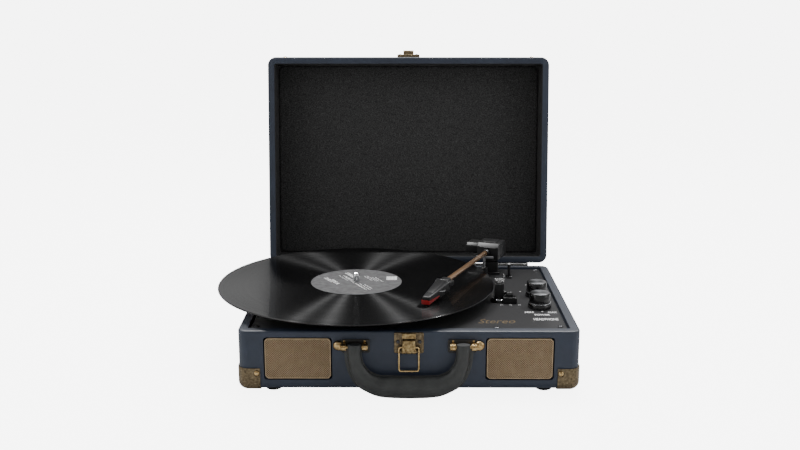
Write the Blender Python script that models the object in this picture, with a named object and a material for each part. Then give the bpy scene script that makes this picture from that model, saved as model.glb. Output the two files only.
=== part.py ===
"""Suitcase record player with its lid open.

X runs to the right, Y to the back and Z up. Sizes are in millimetres from the middle
of the case on the standing surface. A finished mesh is scaled to metres, and is placed
so that the origin is under the middle of the whole object, lid and record included.
"""

import math

import bmesh
import bpy
from mathutils import Matrix, Vector

for old in list(bpy.data.objects):
    bpy.data.objects.remove(old, do_unlink=True)

MM = 0.001

# Middle of the whole object, from the middle of the case
WHOLE_MIDDLE = Vector((-18.6, 28.8, 0.0))

# Case
CASE_HALF_X = 170.0
CASE_HALF_Y = 125.0
CORNER_R = 10.0
BASE_BOTTOM_R = 7.0
FOOT_H = 7.0
RIM_TOP = 68.5
RIM_WALL = 9.5
BODY_WALL = 14.0
LEDGE_Z = 63.2
DECK_TOP = 66.5
DECK_THICK = 3.0

# Lid, described closed and then turned open about its hinge
LID_WALL = 8.0
LID_GAP = 0.3
LID_DEPTH = 46.0
LID_TOP_THICK = 5.2
LID_TOP_R = 6.0
HINGE_Y = 127.25
HINGE_Z = 68.4
LID_OPEN_DEG = 97.6

# Turntable
PLATTER_X = -57.5
PLATTER_Y = 2.0
PLATTER_R = 100.0
RECORD_R = 151.0
RECORD_LOW = 81.3
RECORD_TOP = 83.0
SPINDLE_R = 3.55
SPINDLE_TOP = 93.8
BELT_RING_R = 60.0
PULLEY_R = 5.0
MOTOR_X = -117.5
MOTOR_Y = -58.0

# Tonearm: pivot, direction of the tube and height of the tube's axis
ARM_X = 98.5
ARM_Y = 100.0
ARM_DEG = -113.1
ARM_Z = 95.0
TUBE_R = 2.7
TUBE_END = 149.0
LIFT_R = 24.0
REST_X = 98.4
REST_Y = -17.0

# Controls
VOLUME_XY = (139.6, -40.0)
FUNCTION_XY = (141.6, 1.7)
KNOB_SHAFT_R = 3.0
SPEED_XY = (109.5, -22.0)
STOP_XY = (106.0, 5.0)
CUE_XY = (118.8, 80.0)
CUE_Z = 65.0

# Front hardware
GRILLE_X = 110.2
GRILLE_Z = 39.75
GRILLE_HALF_X = 33.2
GRILLE_HALF_Z = 21.3
BRACKET_X = 55.9
HANDLE_Y = -132.5
HANDLE_Z = 54.5
HANDLE_PIN_R = 1.5
LEVER_Y = -129.0
LEVER_Z = 48.6
BAIL_Y = -128.9
BAIL_Z = 53.0
WIRE_R = 0.95

RUNNING = 0.06  # radial clearance of a shaft in its bore


def material(name, rgb, roughness, metallic=0.0):
    mat = bpy.data.materials.new(name)
    mat.use_nodes = True
    shader = mat.node_tree.nodes["Principled BSDF"]
    shader.inputs["Base Color"].default_value = (*rgb, 1.0)
    shader.inputs["Roughness"].default_value = roughness
    shader.inputs["Metallic"].default_value = metallic
    return mat


NAVY = material("navy_leatherette", (0.026, 0.035, 0.052), 0.6)
BLACK = material("black_plastic", (0.02, 0.02, 0.02), 0.45)
DECK = material("deck_plastic", (0.05, 0.05, 0.05), 0.55)
LINING = material("lining_board", (0.02, 0.02, 0.02), 0.8)
RUBBER = material("black_rubber", (0.015, 0.015, 0.015), 0.8)
VINYL = material("record_vinyl", (0.008, 0.008, 0.008), 0.25)
BRASS = material("antique_brass", (0.27, 0.19, 0.09), 0.4, 1.0)
BRONZE = material("bronze_mesh", (0.24, 0.17, 0.09), 0.5, 0.8)
COPPER = material("copper_tube", (0.33, 0.17, 0.09), 0.35, 0.6)
CHROME = material("chrome", (0.7, 0.7, 0.7), 0.15, 1.0)
STEEL = material("zinc_steel", (0.45, 0.45, 0.45), 0.4, 1.0)
RED = material("red_plastic", (0.35, 0.01, 0.01), 0.4)
BOARD = material("circuit_board", (0.05, 0.16, 0.06), 0.6)
HARDBOARD = material("hardboard", (0.05, 0.035, 0.025), 0.8)
POLYMER = material("handle_polyurethane", (0.035, 0.038, 0.037), 0.55)


def finish(name, bm, mat, origin=(0.0, 0.0, 0.0), smooth=False, guide=False):
    """Make an object from a mesh in millimetres, with its origin at a point."""
    bmesh.ops.remove_doubles(bm, verts=bm.verts, dist=0.0005)
    bmesh.ops.recalc_face_normals(bm, faces=bm.faces)
    bm.transform(Matrix.Scale(MM, 4) @ Matrix.Translation(-Vector(origin)))
    mesh = bpy.data.meshes.new(name)
    bm.to_mesh(mesh)
    bm.free()
    if smooth:
        mesh.shade_smooth()
        mesh.set_sharp_from_angle(angle=math.radians(35))
    obj = bpy.data.objects.new(name, mesh)
    obj.location = (Vector(origin) - WHOLE_MIDDLE) * MM
    bpy.context.scene.collection.objects.link(obj)
    mesh.materials.append(mat)
    if guide:
        obj.hide_render = True
        obj.display_type = "WIRE"
    return obj


def boolean(obj, bm, operation):
    """Cut a helper solid from an object, or join it to the object."""
    helper = finish(obj.name + "_tool", bm, obj.data.materials[0], guide=True)
    modifier = obj.modifiers.new(operation.lower(), "BOOLEAN")
    modifier.operation = operation
    modifier.solver = "EXACT"
    modifier.object = helper
    return obj


def cut(obj, bm):
    return boolean(obj, bm, "DIFFERENCE")


def join(obj, bm):
    return boolean(obj, bm, "UNION")


def merged(*parts):
    """Put several separate solids into one helper mesh."""
    whole = bmesh.new()
    for part in parts:
        mesh = bpy.data.meshes.new("part")
        part.to_mesh(mesh)
        part.free()
        whole.from_mesh(mesh)
        bpy.data.meshes.remove(mesh)
    return whole


def loft(rings, ring_closed=False):
    """Bridge equal rings of points into a solid, capped or joined end to start."""
    bm = bmesh.new()
    loops = [[bm.verts.new(point) for point in ring] for ring in rings]
    count = len(loops[0])
    pairs = list(zip(loops, loops[1:]))
    if ring_closed:
        pairs.append((loops[-1], loops[0]))
    for low, high in pairs:
        for i in range(count):
            j = (i + 1) % count
            bm.faces.new((low[i], low[j], high[j], high[i]))
    if not ring_closed:
        bm.faces.new(list(reversed(loops[0])))
        bm.faces.new(loops[-1])
    return bm


def rounded(half_x, half_y, radius, z, centre=(0.0, 0.0), steps=3):
    """Points round a rectangle with round corners, at one height."""
    points = []
    corners = ((1, 1, 0), (-1, 1, 90), (-1, -1, 180), (1, -1, 270))
    for sx, sy, start in corners:
        for k in range(steps + 1):
            angle = math.radians(start + 90 * k / steps)
            x = sx * (half_x - radius) + radius * math.cos(angle)
            y = sy * (half_y - radius) + radius * math.sin(angle)
            points.append(Vector((centre[0] + x, centre[1] + y, z)))
    return points


def slab(half_x, half_y, radius, z0, z1, centre=(0.0, 0.0), edge=0.0, steps=3):
    """A flat plate with round corners and small chamfers."""
    if edge > 0:
        rings = [
            rounded(half_x - edge, half_y - edge, radius, z0, centre, steps),
            rounded(half_x, half_y, radius + edge, z0 + edge, centre, steps),
            rounded(half_x, half_y, radius + edge, z1 - edge, centre, steps),
            rounded(half_x - edge, half_y - edge, radius, z1, centre, steps),
        ]
    else:
        rings = [rounded(half_x, half_y, radius, z, centre, steps) for z in (z0, z1)]
    return loft(rings)


def box(x0, x1, y0, y1, z0, z1, edge=0.0):
    """A block between two corners, with bevelled edges if asked."""
    bm = bmesh.new()
    bmesh.ops.create_cube(bm, size=1.0)
    size = Matrix.Diagonal((x1 - x0, y1 - y0, z1 - z0, 1.0))
    centre = Matrix.Translation(((x0 + x1) / 2, (y0 + y1) / 2, (z0 + z1) / 2))
    bm.transform(centre @ size)
    if edge > 0:
        bmesh.ops.bevel(bm, geom=bm.edges[:], offset=edge, segments=1, affect="EDGES")
    return bm


def lathe(profile, segments, centre=(0.0, 0.0), hollow=False):
    """Turn (radius, height) points about a vertical axis."""
    bm = bmesh.new()
    rows = []
    for radius, z in profile:
        if radius < 1e-6:
            rows.append([bm.verts.new((0.0, 0.0, z))])
            continue
        row = []
        for k in range(segments):
            angle = 2 * math.pi * k / segments
            row.append(bm.verts.new((radius * math.cos(angle), radius * math.sin(angle), z)))
        rows.append(row)
    pairs = list(zip(rows, rows[1:]))
    if hollow:
        pairs.append((rows[-1], rows[0]))
    for low, high in pairs:
        for k in range(segments):
            n = (k + 1) % segments
            if len(low) == 1 and len(high) == 1:
                continue
            if len(low) == 1:
                bm.faces.new((low[0], high[n], high[k]))
            elif len(high) == 1:
                bm.faces.new((low[k], low[n], high[0]))
            else:
                bm.faces.new((low[k], low[n], high[n], high[k]))
    bm.transform(Matrix.Translation((centre[0], centre[1], 0.0)))
    return bm


def rod(start, end, radius, segments=16):
    """A solid round bar between two points."""
    start = Vector(start)
    end = Vector(end)
    length = (end - start).length
    bm = lathe([(0, 0), (radius, 0), (radius, length), (0, length)], segments)
    turn = Vector((0, 0, 1)).rotation_difference(end - start).to_matrix().to_4x4()
    bm.transform(Matrix.Translation(start) @ turn)
    return bm


def prism(outline, x0, x1):
    """Extrude a (y, z) outline along X."""
    return loft([[Vector((x, y, z)) for y, z in outline] for x in (x0, x1)])


def stand_up(bm, y_front):
    """Turn a plate lying in XY to stand in XZ, its top facing the front."""
    bm.transform(Matrix.Translation((0, y_front, 0)) @ Matrix.Rotation(math.radians(90), 4, "X"))
    return bm


def arm_frame(bm):
    """Move a solid from the arm's own axes (forward, right, up) to the case's axes."""
    angle = math.radians(ARM_DEG)
    forward = Vector((math.cos(angle), math.sin(angle), 0.0))
    right = Vector((forward.y, -forward.x, 0.0))
    turn = Matrix.Identity(4)
    for i in range(3):
        turn[i][0] = forward[i]
        turn[i][1] = -right[i]
    bm.transform(Matrix.Translation((ARM_X, ARM_Y, 0.0)) @ turn)
    return bm


def open_lid(bm):
    """Turn a closed-lid solid to the open position about the hinge axis."""
    axis = Vector((0.0, HINGE_Y, HINGE_Z))
    turn = Matrix.Rotation(math.radians(-LID_OPEN_DEG), 4, "X")
    bm.transform(Matrix.Translation(axis) @ turn @ Matrix.Translation(-axis))
    return bm


HINGE_ORIGIN = (0.0, HINGE_Y, HINGE_Z)


def inset_ring(inset, z):
    """The case outline moved inwards by a distance."""
    radius = max(CORNER_R - inset, 1.0)
    return rounded(CASE_HALF_X - inset, CASE_HALF_Y - inset, radius, z, steps=4)


def quarter(inset_of, z_of, steps=3):
    """Insets and heights of a rounded edge, given as functions of an angle."""
    for k in range(steps + 1):
        angle = math.radians(90 * k / steps)
        yield inset_of(angle), z_of(angle)


# Case walls: rebated at the top for the deck and at the bottom for the base board
base_rings = [inset_ring(RIM_WALL, FOOT_H), inset_ring(RIM_WALL, FOOT_H + 3.6)]
base_rings += [inset_ring(BODY_WALL, FOOT_H + 3.6), inset_ring(BODY_WALL, LEDGE_Z)]
base_rings += [inset_ring(RIM_WALL, LEDGE_Z), inset_ring(RIM_WALL, RIM_TOP - 0.5)]
base_rings += [inset_ring(RIM_WALL - 0.5, RIM_TOP)]
for inset, z in quarter(lambda a: 2 - 2 * math.sin(a), lambda a: RIM_TOP - 2 + 2 * math.cos(a)):
    base_rings.append(inset_ring(inset, z))
for inset, z in quarter(
    lambda a: BASE_BOTTOM_R * (1 - math.cos(a)),
    lambda a: FOOT_H + BASE_BOTTOM_R * (1 - math.sin(a)),
    4,
):
    base_rings.append(inset_ring(inset, z))
base_case = finish("base_case", loft(base_rings, ring_closed=True), NAVY)

openings = []
for side in (-1, 1):
    opening = slab(34.1, 22.2, 3.5, -20, 20, (side * GRILLE_X, GRILLE_Z))
    openings.append(stand_up(opening, -CASE_HALF_Y + 5))
openings.append(stand_up(slab(31.0, 10.0, 2.0, -20, 20, (60.0, 36.0)), CASE_HALF_Y - 5))
openings.append(rod((150, -80, 45), (180, -80, 45), 5.2, 20))
cut(base_case, merged(*openings))

# Base board in the bottom rebate, with a row of vent slots
bottom_panel = finish("bottom_panel", slab(160.2, 115.2, 1.0, 7.3, 10.3), HARDBOARD)
slots = [slab(1.5, 14, 1.4, 0, 20, (x, 40.0)) for x in (-30, -20, -10, 0, 10, 20, 30)]
cut(bottom_panel, merged(*slots))

# Deck with its holes and slots
deck_low = DECK_TOP - DECK_THICK
deck_plate = finish("deck_plate", slab(158.7, 113.7, 1.5, deck_low, DECK_TOP, edge=0.6), DECK)
holes = [
    rod((PLATTER_X, PLATTER_Y, 50), (PLATTER_X, PLATTER_Y, 80), 6.0, 20),
    rod((MOTOR_X, MOTOR_Y, 50), (MOTOR_X, MOTOR_Y, 80), 7.5, 20),
    rod((*VOLUME_XY, 50), (*VOLUME_XY, 80), KNOB_SHAFT_R + 0.6, 16),
    rod((*FUNCTION_XY, 50), (*FUNCTION_XY, 80), KNOB_SHAFT_R + 0.6, 16),
    slab(6.5, 1.5, 1.0, 50, 80, STOP_XY),
    slab(3.2, 8.0, 1.0, 50, 80, CUE_XY),
]
cut(deck_plate, merged(*holes))

# Feet
foot_profile = [(0, 0), (6.6, 0), (7.6, 0.8), (8.0, 5.5), (8.0, FOOT_H), (0, FOOT_H)]
foot_places = ((-137.5, -102), (137.5, -102), (-137.5, 102), (137.5, 102))
for number, place in enumerate(foot_places, 1):
    finish(f"foot_{number}", lathe(foot_profile, 20, place), RUBBER, (*place, 0), smooth=True)


# Corner protectors: a thin shell over a rounded outer corner of the case
def corner_outline(inset, reach_x, reach_y, z, steps=4):
    """Half outline round the corner at +X, -Y, from its long side to its short side."""
    radius = max(CORNER_R - inset, 0.6)
    centre = Vector((CASE_HALF_X - inset - radius, -CASE_HALF_Y + inset + radius))
    points = [Vector((CASE_HALF_X - reach_x, -CASE_HALF_Y + inset, z))]
    for k in range(steps + 1):
        angle = math.radians(-90 + 90 * k / steps)
        x = centre.x + radius * math.cos(angle)
        y = centre.y + radius * math.sin(angle)
        points.append(Vector((x, y, z)))
    points.append(Vector((CASE_HALF_X - inset, -CASE_HALF_Y + reach_y, z)))
    return points


def corner_shell(edge_r, reach, height, under, inner, outer):
    """A bent sheet round a corner: walls up to a height, round edge, flange under."""
    sheets = []
    for offset in (inner, outer):
        rows = [corner_outline(-offset, reach, reach, height)]
        for inset, z in quarter(
            lambda a: edge_r - (edge_r + offset) * math.cos(a),
            lambda a: edge_r - (edge_r + offset) * math.sin(a),
            4,
        ):
            rows.append(corner_outline(inset, reach, reach, z))
        rows.append(corner_outline(under, reach, reach, -offset))
        sheets.append(rows)
    rings = []
    for low, high in zip(*sheets):
        rings.append([*low, *reversed(high)])
    return loft(rings)


def corner_copies(prefix, first, mat, shell, lift, flip, turn):
    """Four corners of one shell, by mirroring it across the case."""
    number = first
    for sy in (1, -1):
        for sx in (-1, 1):
            bm = shell()
            bm.transform(Matrix.Diagonal((sx, sy, -1.0 if flip else 1.0, 1.0)))
            bm.transform(Matrix.Translation((0, 0, lift)))
            origin = (0, 0, 0)
            if turn:
                open_lid(bm)
                origin = HINGE_ORIGIN
            finish(f"{prefix}_{number}", bm, mat, origin)
            number += 1


corner_copies(
    "base_corner", 1, BRASS, lambda: corner_shell(BASE_BOTTOM_R, 22.0, 22.5, 9.0, 0.2, 1.2), FOOT_H, False, False
)

# Speaker grilles with a raised border, and the drivers behind them
for side, tag in ((-1, "l"), (1, "r")):
    centre = (side * GRILLE_X, GRILLE_Z)
    rings = [
        rounded(GRILLE_HALF_X, GRILLE_HALF_Z, 3.0, -3.0, centre),
        rounded(GRILLE_HALF_X, GRILLE_HALF_Z, 3.0, 0.2, centre),
        rounded(GRILLE_HALF_X - 0.6, GRILLE_HALF_Z - 0.6, 2.6, 0.5, centre),
        rounded(GRILLE_HALF_X - 1.6, GRILLE_HALF_Z - 1.6, 1.8, 0.5, centre),
        rounded(GRILLE_HALF_X - 2.2, GRILLE_HALF_Z - 2.2, 1.4, -0.6, centre),
    ]
    finish(f"speaker_grille_{tag}", stand_up(loft(rings), -CASE_HALF_Y), BRONZE)
    cone = [(0, -8), (6, -8), (18, -1.5), (23, -1.5), (23, -4), (20, -4), (13, -15), (13, -24), (0, -24)]
    driver = lathe(cone, 24)
    driver.transform(Matrix.Translation((side * GRILLE_X, GRILLE_Z, 0)))
    finish(f"speaker_driver_{tag}", stand_up(driver, -109.0), BLACK, smooth=True)


# Handle brackets with their riveted pins
def ear(x0, x1):
    """A side plate of the bracket, round at its free end."""
    outline = [(-125.8, 50.2), (-125.8, 58.8)]
    for k in range(7):
        angle = math.radians(90 + 180 * k / 6)
        outline.append((HANDLE_Y + 4 * math.cos(angle), HANDLE_Z + 4 * math.sin(angle)))
    return prism(outline, x0, x1)


for side, tag in ((-1, "l"), (1, "r")):
    plate = slab(17.5, 7.0, 2.0, 0.2, 1.4, (BRACKET_X, 53.5))
    bracket_mesh = stand_up(plate, -CASE_HALF_Y)
    boss = stand_up(lathe([(0, 0.8), (5.0, 0.8), (5.0, 3.6), (3.6, 4.6), (0, 4.6)], 16), -CASE_HALF_Y)
    boss.transform(Matrix.Translation((69.9, 0, 54.0)))
    ears = merged(ear(41.2, 45.4), ear(62.2, 66.4))
    pin = rod((41.8, HANDLE_Y, HANDLE_Z), (66.0, HANDLE_Y, HANDLE_Z), HANDLE_PIN_R)
    mirror = Matrix.Diagonal((side, 1, 1, 1))
    for piece in (bracket_mesh, ears, boss, pin):
        piece.transform(mirror)
    bracket = finish(f"handle_bracket_{tag}", bracket_mesh, BRASS)
    join(bracket, ears)
    join(bracket, boss)
    join(bracket, pin)

# Latch plate with the strap, two lugs and the lever's pin
latch_plate = finish("latch_plate", stand_up(slab(14.7, 10.8, 1.5, 0.2, 1.4, (0, 56.8)), -125.0), BRASS)
lugs = [prism([(-125.9, 46.9), (-125.9, 50.3), (-130.2, 50.3), (-130.8, 48.6), (-130.2, 46.9)], x0, x1)
        for x0, x1 in ((-8.6, -7.4), (7.4, 8.6))]
join(latch_plate, merged(*lugs, box(-6.6, 6.6, -128.0, -125.9, 61.0, 66.0, 0.5)))
join(latch_plate, rod((-8.2, LEVER_Y, LEVER_Z), (8.2, LEVER_Y, LEVER_Z), 0.9, 12))


# Latch lever: a tapered tongue over its knuckle
def tongue(z, half_x, y0, y1):
    return [Vector((-half_x, y0, z)), Vector((half_x, y0, z)), Vector((half_x, y1, z)), Vector((-half_x, y1, z))]


lever_rings = [
    tongue(47.6, 7.1, -130.2, -127.6),
    tongue(50.0, 7.1, -130.9, -127.2),
    tongue(56.0, 6.6, -130.9, -127.0),
    tongue(59.8, 6.0, -129.4, -127.0),
]
lever_pin = (0.0, LEVER_Y, LEVER_Z)
latch_lever = finish("latch_lever", loft(lever_rings), BRASS, lever_pin)
join(latch_lever, rod((-7.1, LEVER_Y, LEVER_Z), (7.1, LEVER_Y, LEVER_Z), 2.0, 16))
bores = merged(
    rod((-9, LEVER_Y, LEVER_Z), (9, LEVER_Y, LEVER_Z), 0.9 + RUNNING, 12),
    rod((-9, BAIL_Y, BAIL_Z), (9, BAIL_Y, BAIL_Z), WIRE_R + RUNNING, 12),
)
cut(latch_lever, bores)


def wire(points, radius, sides):
    """A round wire along a path in one upright plane."""
    rings = []
    for i, point in enumerate(points):
        before = points[max(i - 1, 0)]
        after = points[min(i + 1, len(points) - 1)]
        along = (after - before).normalized()
        across = along.cross(Vector((0, 1, 0))).normalized()
        ring = []
        for k in range(sides):
            angle = 2 * math.pi * k / sides
            ring.append(point + radius * (math.cos(angle) * across + math.sin(angle) * Vector((0, 1, 0))))
        rings.append(ring)
    return loft(rings)


def fillet_path(corners, radius, steps=4):
    """Round off the inner corners of a path."""
    path = [corners[0]]
    for a, b, c in zip(corners, corners[1:], corners[2:]):
        start = b + (a - b).normalized() * radius
        end = b + (c - b).normalized() * radius
        for k in range(steps + 1):
            t = k / steps
            path.append(start * (1 - t) ** 2 + b * 2 * t * (1 - t) + end * t ** 2)
    path.append(corners[-1])
    return path


bail_half = [(4.2, BAIL_Z), (9.8, BAIL_Z), (9.8, 28.2)]
bail_corners = [Vector((-x, BAIL_Y, z)) for x, z in bail_half]
bail_corners += [Vector((x, BAIL_Y, z)) for x, z in reversed(bail_half)]
bail_path = fillet_path(bail_corners, 2.2)
finish("latch_bail", wire(bail_path, WIRE_R, 10), BRASS, (0, BAIL_Y, BAIL_Z), smooth=True)

# Carrying handle: one moulded piece swept along its centre line
GRIP = [
    (0.0, 12.7, 11.5, 7.0),
    (20.0, 13.1, 11.1, 7.0),
    (32.0, 14.6, 10.2, 6.9),
    (44.0, 21.6, 9.3, 6.5),
    (50.9, 33.5, 7.6, 5.9),
    (53.2, 44.0, 6.6, 5.4),
    (53.5, 52.0, 6.5, 5.2),
    (53.5, 58.4, 6.2, 4.2),
]


def grip_ring(x, z, half, depth, along, y):
    """One cross-section of the handle, a squarish oval."""
    across = Vector((along.z, 0, -along.x))
    ring = []
    for k in range(12):
        angle = 2 * math.pi * (k + 0.5) / 12
        c = math.copysign(abs(math.cos(angle)) ** 0.7, math.cos(angle))
        s = math.copysign(abs(math.sin(angle)) ** 0.7, math.sin(angle))
        ring.append(Vector((x, y, z)) + across * (half * c) + Vector((0, depth * s, 0)))
    return ring


def smooth_stations(stations, each):
    """Catmull-Rom points through the stations."""
    fine = []
    last = len(stations) - 1
    for i in range(last):
        p0 = stations[max(i - 1, 0)]
        p1 = stations[i]
        p2 = stations[i + 1]
        p3 = stations[min(i + 2, last)]
        for k in range(each):
            t = k / each
            fine.append(tuple(
                0.5 * (2 * b + (c - a) * t + (2 * a - 5 * b + 4 * c - d) * t ** 2 + (3 * b - a - 3 * c + d) * t ** 3)
                for a, b, c, d in zip(p0, p1, p2, p3)
            ))
    fine.append(stations[last])
    return fine


grip_left = [(-x, z, half, depth) for x, z, half, depth in reversed(GRIP[1:])]
stations = smooth_stations(grip_left + GRIP, 2)
grip_rings = []
for i, (x, z, half, depth) in enumerate(stations):
    before = stations[max(i - 1, 0)]
    after = stations[min(i + 1, len(stations) - 1)]
    along = Vector((after[0] - before[0], 0, after[1] - before[1])).normalized()
    grip_rings.append(grip_ring(x, z, half, depth, along, HANDLE_Y - 1.2))
handle = finish("handle", loft(grip_rings), POLYMER, (0, HANDLE_Y, HANDLE_Z), smooth=True)
handle_bores = [rod((s * 40, HANDLE_Y, HANDLE_Z), (s * 66, HANDLE_Y, HANDLE_Z), HANDLE_PIN_R + RUNNING)
                for s in (-1, 1)]
cut(handle, merged(*handle_bores))

# Hinges: two leaves and a pin each
KNUCKLE = 8.56
KNUCKLE_R = 2.2


def knuckle_tab(x0, x1, up):
    """One knuckle with the strip that joins it to its leaf."""
    foot_z = HINGE_Z + up * 4.0
    outline = [(125.2, HINGE_Z), (125.2, foot_z), (126.2, foot_z), (126.2, HINGE_Z)]
    tab = prism(outline, x0, x1)
    return tab, rod((x0, HINGE_Y, HINGE_Z), (x1, HINGE_Y, HINGE_Z), KNUCKLE_R, 16)


for side, tag in ((-1, "l"), (1, "r")):
    middle = side * 125.0
    for leaf, up, slots in (("base", -1, (0, 2, 4)), ("lid", 1, (1, 3))):
        z0, z1 = (49.0, 65.9) if up < 0 else (70.9, 87.8)
        plate = slab(22.0, (z1 - z0) / 2, 1.0, 0, 1.0, (middle, (z0 + z1) / 2), steps=2)
        mesh = stand_up(plate, 126.2)
        tabs = []
        rolls = []
        for slot in slots:
            x0 = middle - 22.0 + slot * 8.8 + 0.12
            tab, roll = knuckle_tab(x0, x0 + KNUCKLE, up)
            tabs.append(tab)
            rolls.append(roll)
        tabs = merged(*tabs)
        rolls = merged(*rolls)
        bore = rod((middle - 30, HINGE_Y, HINGE_Z), (middle + 30, HINGE_Y, HINGE_Z), 1.0 + RUNNING, 12)
        origin = (0, 0, 0)
        if up > 0:
            for piece in (mesh, tabs, rolls, bore):
                open_lid(piece)
            origin = HINGE_ORIGIN
        obj = finish(f"hinge_{leaf}_leaf_{tag}", mesh, BRASS, origin)
        join(obj, tabs)
        join(obj, rolls)
        cut(obj, bore)
    pin = rod((middle - 21.9, HINGE_Y, HINGE_Z), (middle + 21.9, HINGE_Y, HINGE_Z), 1.0, 12)
    finish(f"hinge_pin_{tag}", pin, STEEL, smooth=True)

# Sockets in the back wall and in the right wall
socket_panel = finish("rear_socket_panel", stand_up(slab(30.7, 9.7, 1.8, 0, 2.4, (60.0, 36.0)), 124.4), BLACK)
barrels = [rod((x, y, 36.0), (x, 112.0, 36.0), r) for x, y, r in ((42, 131, 4.1), (56, 131, 4.1), (77, 123, 5.5))]
join(socket_panel, merged(*barrels))
mouths = [rod((x, 134.0, 36.0), (x, 115.0, 36.0), r) for x, r in ((42, 1.6), (56, 1.6), (77, 2.75))]
cut(socket_panel, merged(*mouths))
jack = lathe([(1.8, -12), (4.9, -12), (4.9, 0.2), (4.2, 0.8), (1.8, 0.8)], 20, hollow=True)
jack.transform(Matrix.Translation((170, -80, 45)) @ Matrix.Rotation(math.radians(90), 4, "Y"))
finish("headphone_socket", jack, STEEL, smooth=True)

# Motor, belt, spindle and control board
motor_profile = [(0, 38), (17, 38), (17, 60), (6, 60), (6, 62), (1, 62), (1, 75.4), (0, 75.4)]
motor_place = (MOTOR_X, MOTOR_Y)
finish("motor", lathe(motor_profile, 24, motor_place), STEEL, (*motor_place, 0), smooth=True)


def belt_outline(extra, z):
    """Outline round the platter's belt ring and the pulley, a distance off both."""
    big = Vector((PLATTER_X, PLATTER_Y))
    small = Vector((MOTOR_X, MOTOR_Y))
    toward = small - big
    base = math.atan2(toward.y, toward.x)
    lean = math.acos((BELT_RING_R - PULLEY_R) / toward.length)
    points = []
    for k in range(33):
        angle = base + lean + (2 * math.pi - 2 * lean) * k / 32
        radius = BELT_RING_R + extra
        points.append(Vector((big.x + radius * math.cos(angle), big.y + radius * math.sin(angle), z)))
    for k in range(9):
        angle = base - lean + 2 * lean * k / 8
        radius = PULLEY_R + extra
        points.append(Vector((small.x + radius * math.cos(angle), small.y + radius * math.sin(angle), z)))
    return points


belt_rings = [belt_outline(0.35, 70.8), belt_outline(0.95, 70.8), belt_outline(0.95, 74.3), belt_outline(0.35, 74.3)]
finish("drive_belt", loft(belt_rings, ring_closed=True), RUBBER)

spindle_profile = [(0, 58), (8, 58), (8, 63.2), (SPINDLE_R, 63.2), (SPINDLE_R, SPINDLE_TOP - 4)]
spindle_profile += [(SPINDLE_R * 0.8, SPINDLE_TOP - 1.2), (SPINDLE_R * 0.4, SPINDLE_TOP - 0.2), (0, SPINDLE_TOP)]
platter_place = (PLATTER_X, PLATTER_Y)
finish("spindle", lathe(spindle_profile, 20, platter_place), CHROME, smooth=True)

control_board = finish("control_board", box(118, 153.5, -70, 22, 40, 41.6), BOARD)
pots = []
for place in (VOLUME_XY, FUNCTION_XY):
    pots.append(lathe([(0, 41), (8, 41), (8, 52), (KNOB_SHAFT_R, 52), (KNOB_SHAFT_R, 72.4), (0, 72.4)], 16, place))
join(control_board, merged(*pots))

# Platter, mat and record, all turning on the spindle
bore = SPINDLE_R + RUNNING
platter_profile = [
    (bore, 67.2), (9, 67.2), (9, 76), (57, 76), (57, 68.8), (BELT_RING_R, 68.8), (BELT_RING_R, 76),
    (96.5, 76), (96.5, 69.5), (99, 69.5), (PLATTER_R, 70.5), (PLATTER_R, 78.4), (99.4, 79), (bore, 79),
]
platter_origin = (*platter_place, 0)
finish("platter", lathe(platter_profile, 56, platter_place, hollow=True), BLACK, platter_origin, smooth=True)
mat_profile = [(4.2, 79.3), (97, 79.3), (98, 79.8), (98, 80.6), (97.4, 81), (4.2, 81)]
finish("platter_mat", lathe(mat_profile, 48, platter_place, hollow=True), RUBBER, platter_origin, smooth=True)
record_profile = [
    (bore, RECORD_LOW), (150, RECORD_LOW), (RECORD_R, RECORD_LOW + 0.6), (RECORD_R, RECORD_TOP - 0.6),
    (150, RECORD_TOP), (bore, RECORD_TOP),
]
finish("record", lathe(record_profile, 72, platter_place, hollow=True), VINYL, platter_origin, smooth=True)
pulley_profile = [
    (1 + RUNNING, 68.2), (6, 68.2), (6, 69.8), (PULLEY_R, 70.4), (PULLEY_R, 74.6), (6, 75.0), (6, 75.6),
    (1 + RUNNING, 75.6),
]
pulley = lathe(pulley_profile, 20, motor_place, hollow=True)
finish("motor_pulley", pulley, BRASS, (*motor_place, 0), smooth=True)

# Tonearm base: a block with the vertical bearing stud, and the boss of the lifter
tonearm_base = finish("tonearm_base", box(90, 107, 90.5, 111, 66.8, 81.6, 0.8), BLACK)
lift_xy = (
    ARM_X + LIFT_R * math.cos(math.radians(ARM_DEG)),
    ARM_Y + LIFT_R * math.sin(math.radians(ARM_DEG)),
)
web = box(87.5, 93.5, 78, 92, 66.9, 71.0)
join(tonearm_base, merged(rod((*lift_xy, 66.8), (*lift_xy, 79.0), 4.2, 16)))
join(tonearm_base, web)
join(tonearm_base, rod((ARM_X, ARM_Y, 80), (ARM_X, ARM_Y, 85.6), 2.0, 16))
cut(tonearm_base, rod((*lift_xy, 69.0), (*lift_xy, 90), 1.5 + RUNNING, 16))

# Swivel: a fork that turns on the stud and carries the tilt pin
arm_origin = (ARM_X, ARM_Y, ARM_Z)
yoke = finish("tonearm_yoke", arm_frame(box(-5, 5, -8.8, 8.8, 84.0, 99.0, 0.6)), BLACK, (ARM_X, ARM_Y, 82.0))
join(yoke, rod((ARM_X, ARM_Y, 81.9), (ARM_X, ARM_Y, 85.0), 6.5, 20))
cut(yoke, arm_frame(box(-8, 8, -6.2, 6.2, 88.5, 102)))
cut(yoke, rod((ARM_X, ARM_Y, 80), (ARM_X, ARM_Y, 86), 2.0 + RUNNING, 16))
cut(yoke, arm_frame(rod((0, -12, ARM_Z), (0, 12, ARM_Z), 1.5 + RUNNING, 16)))

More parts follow.
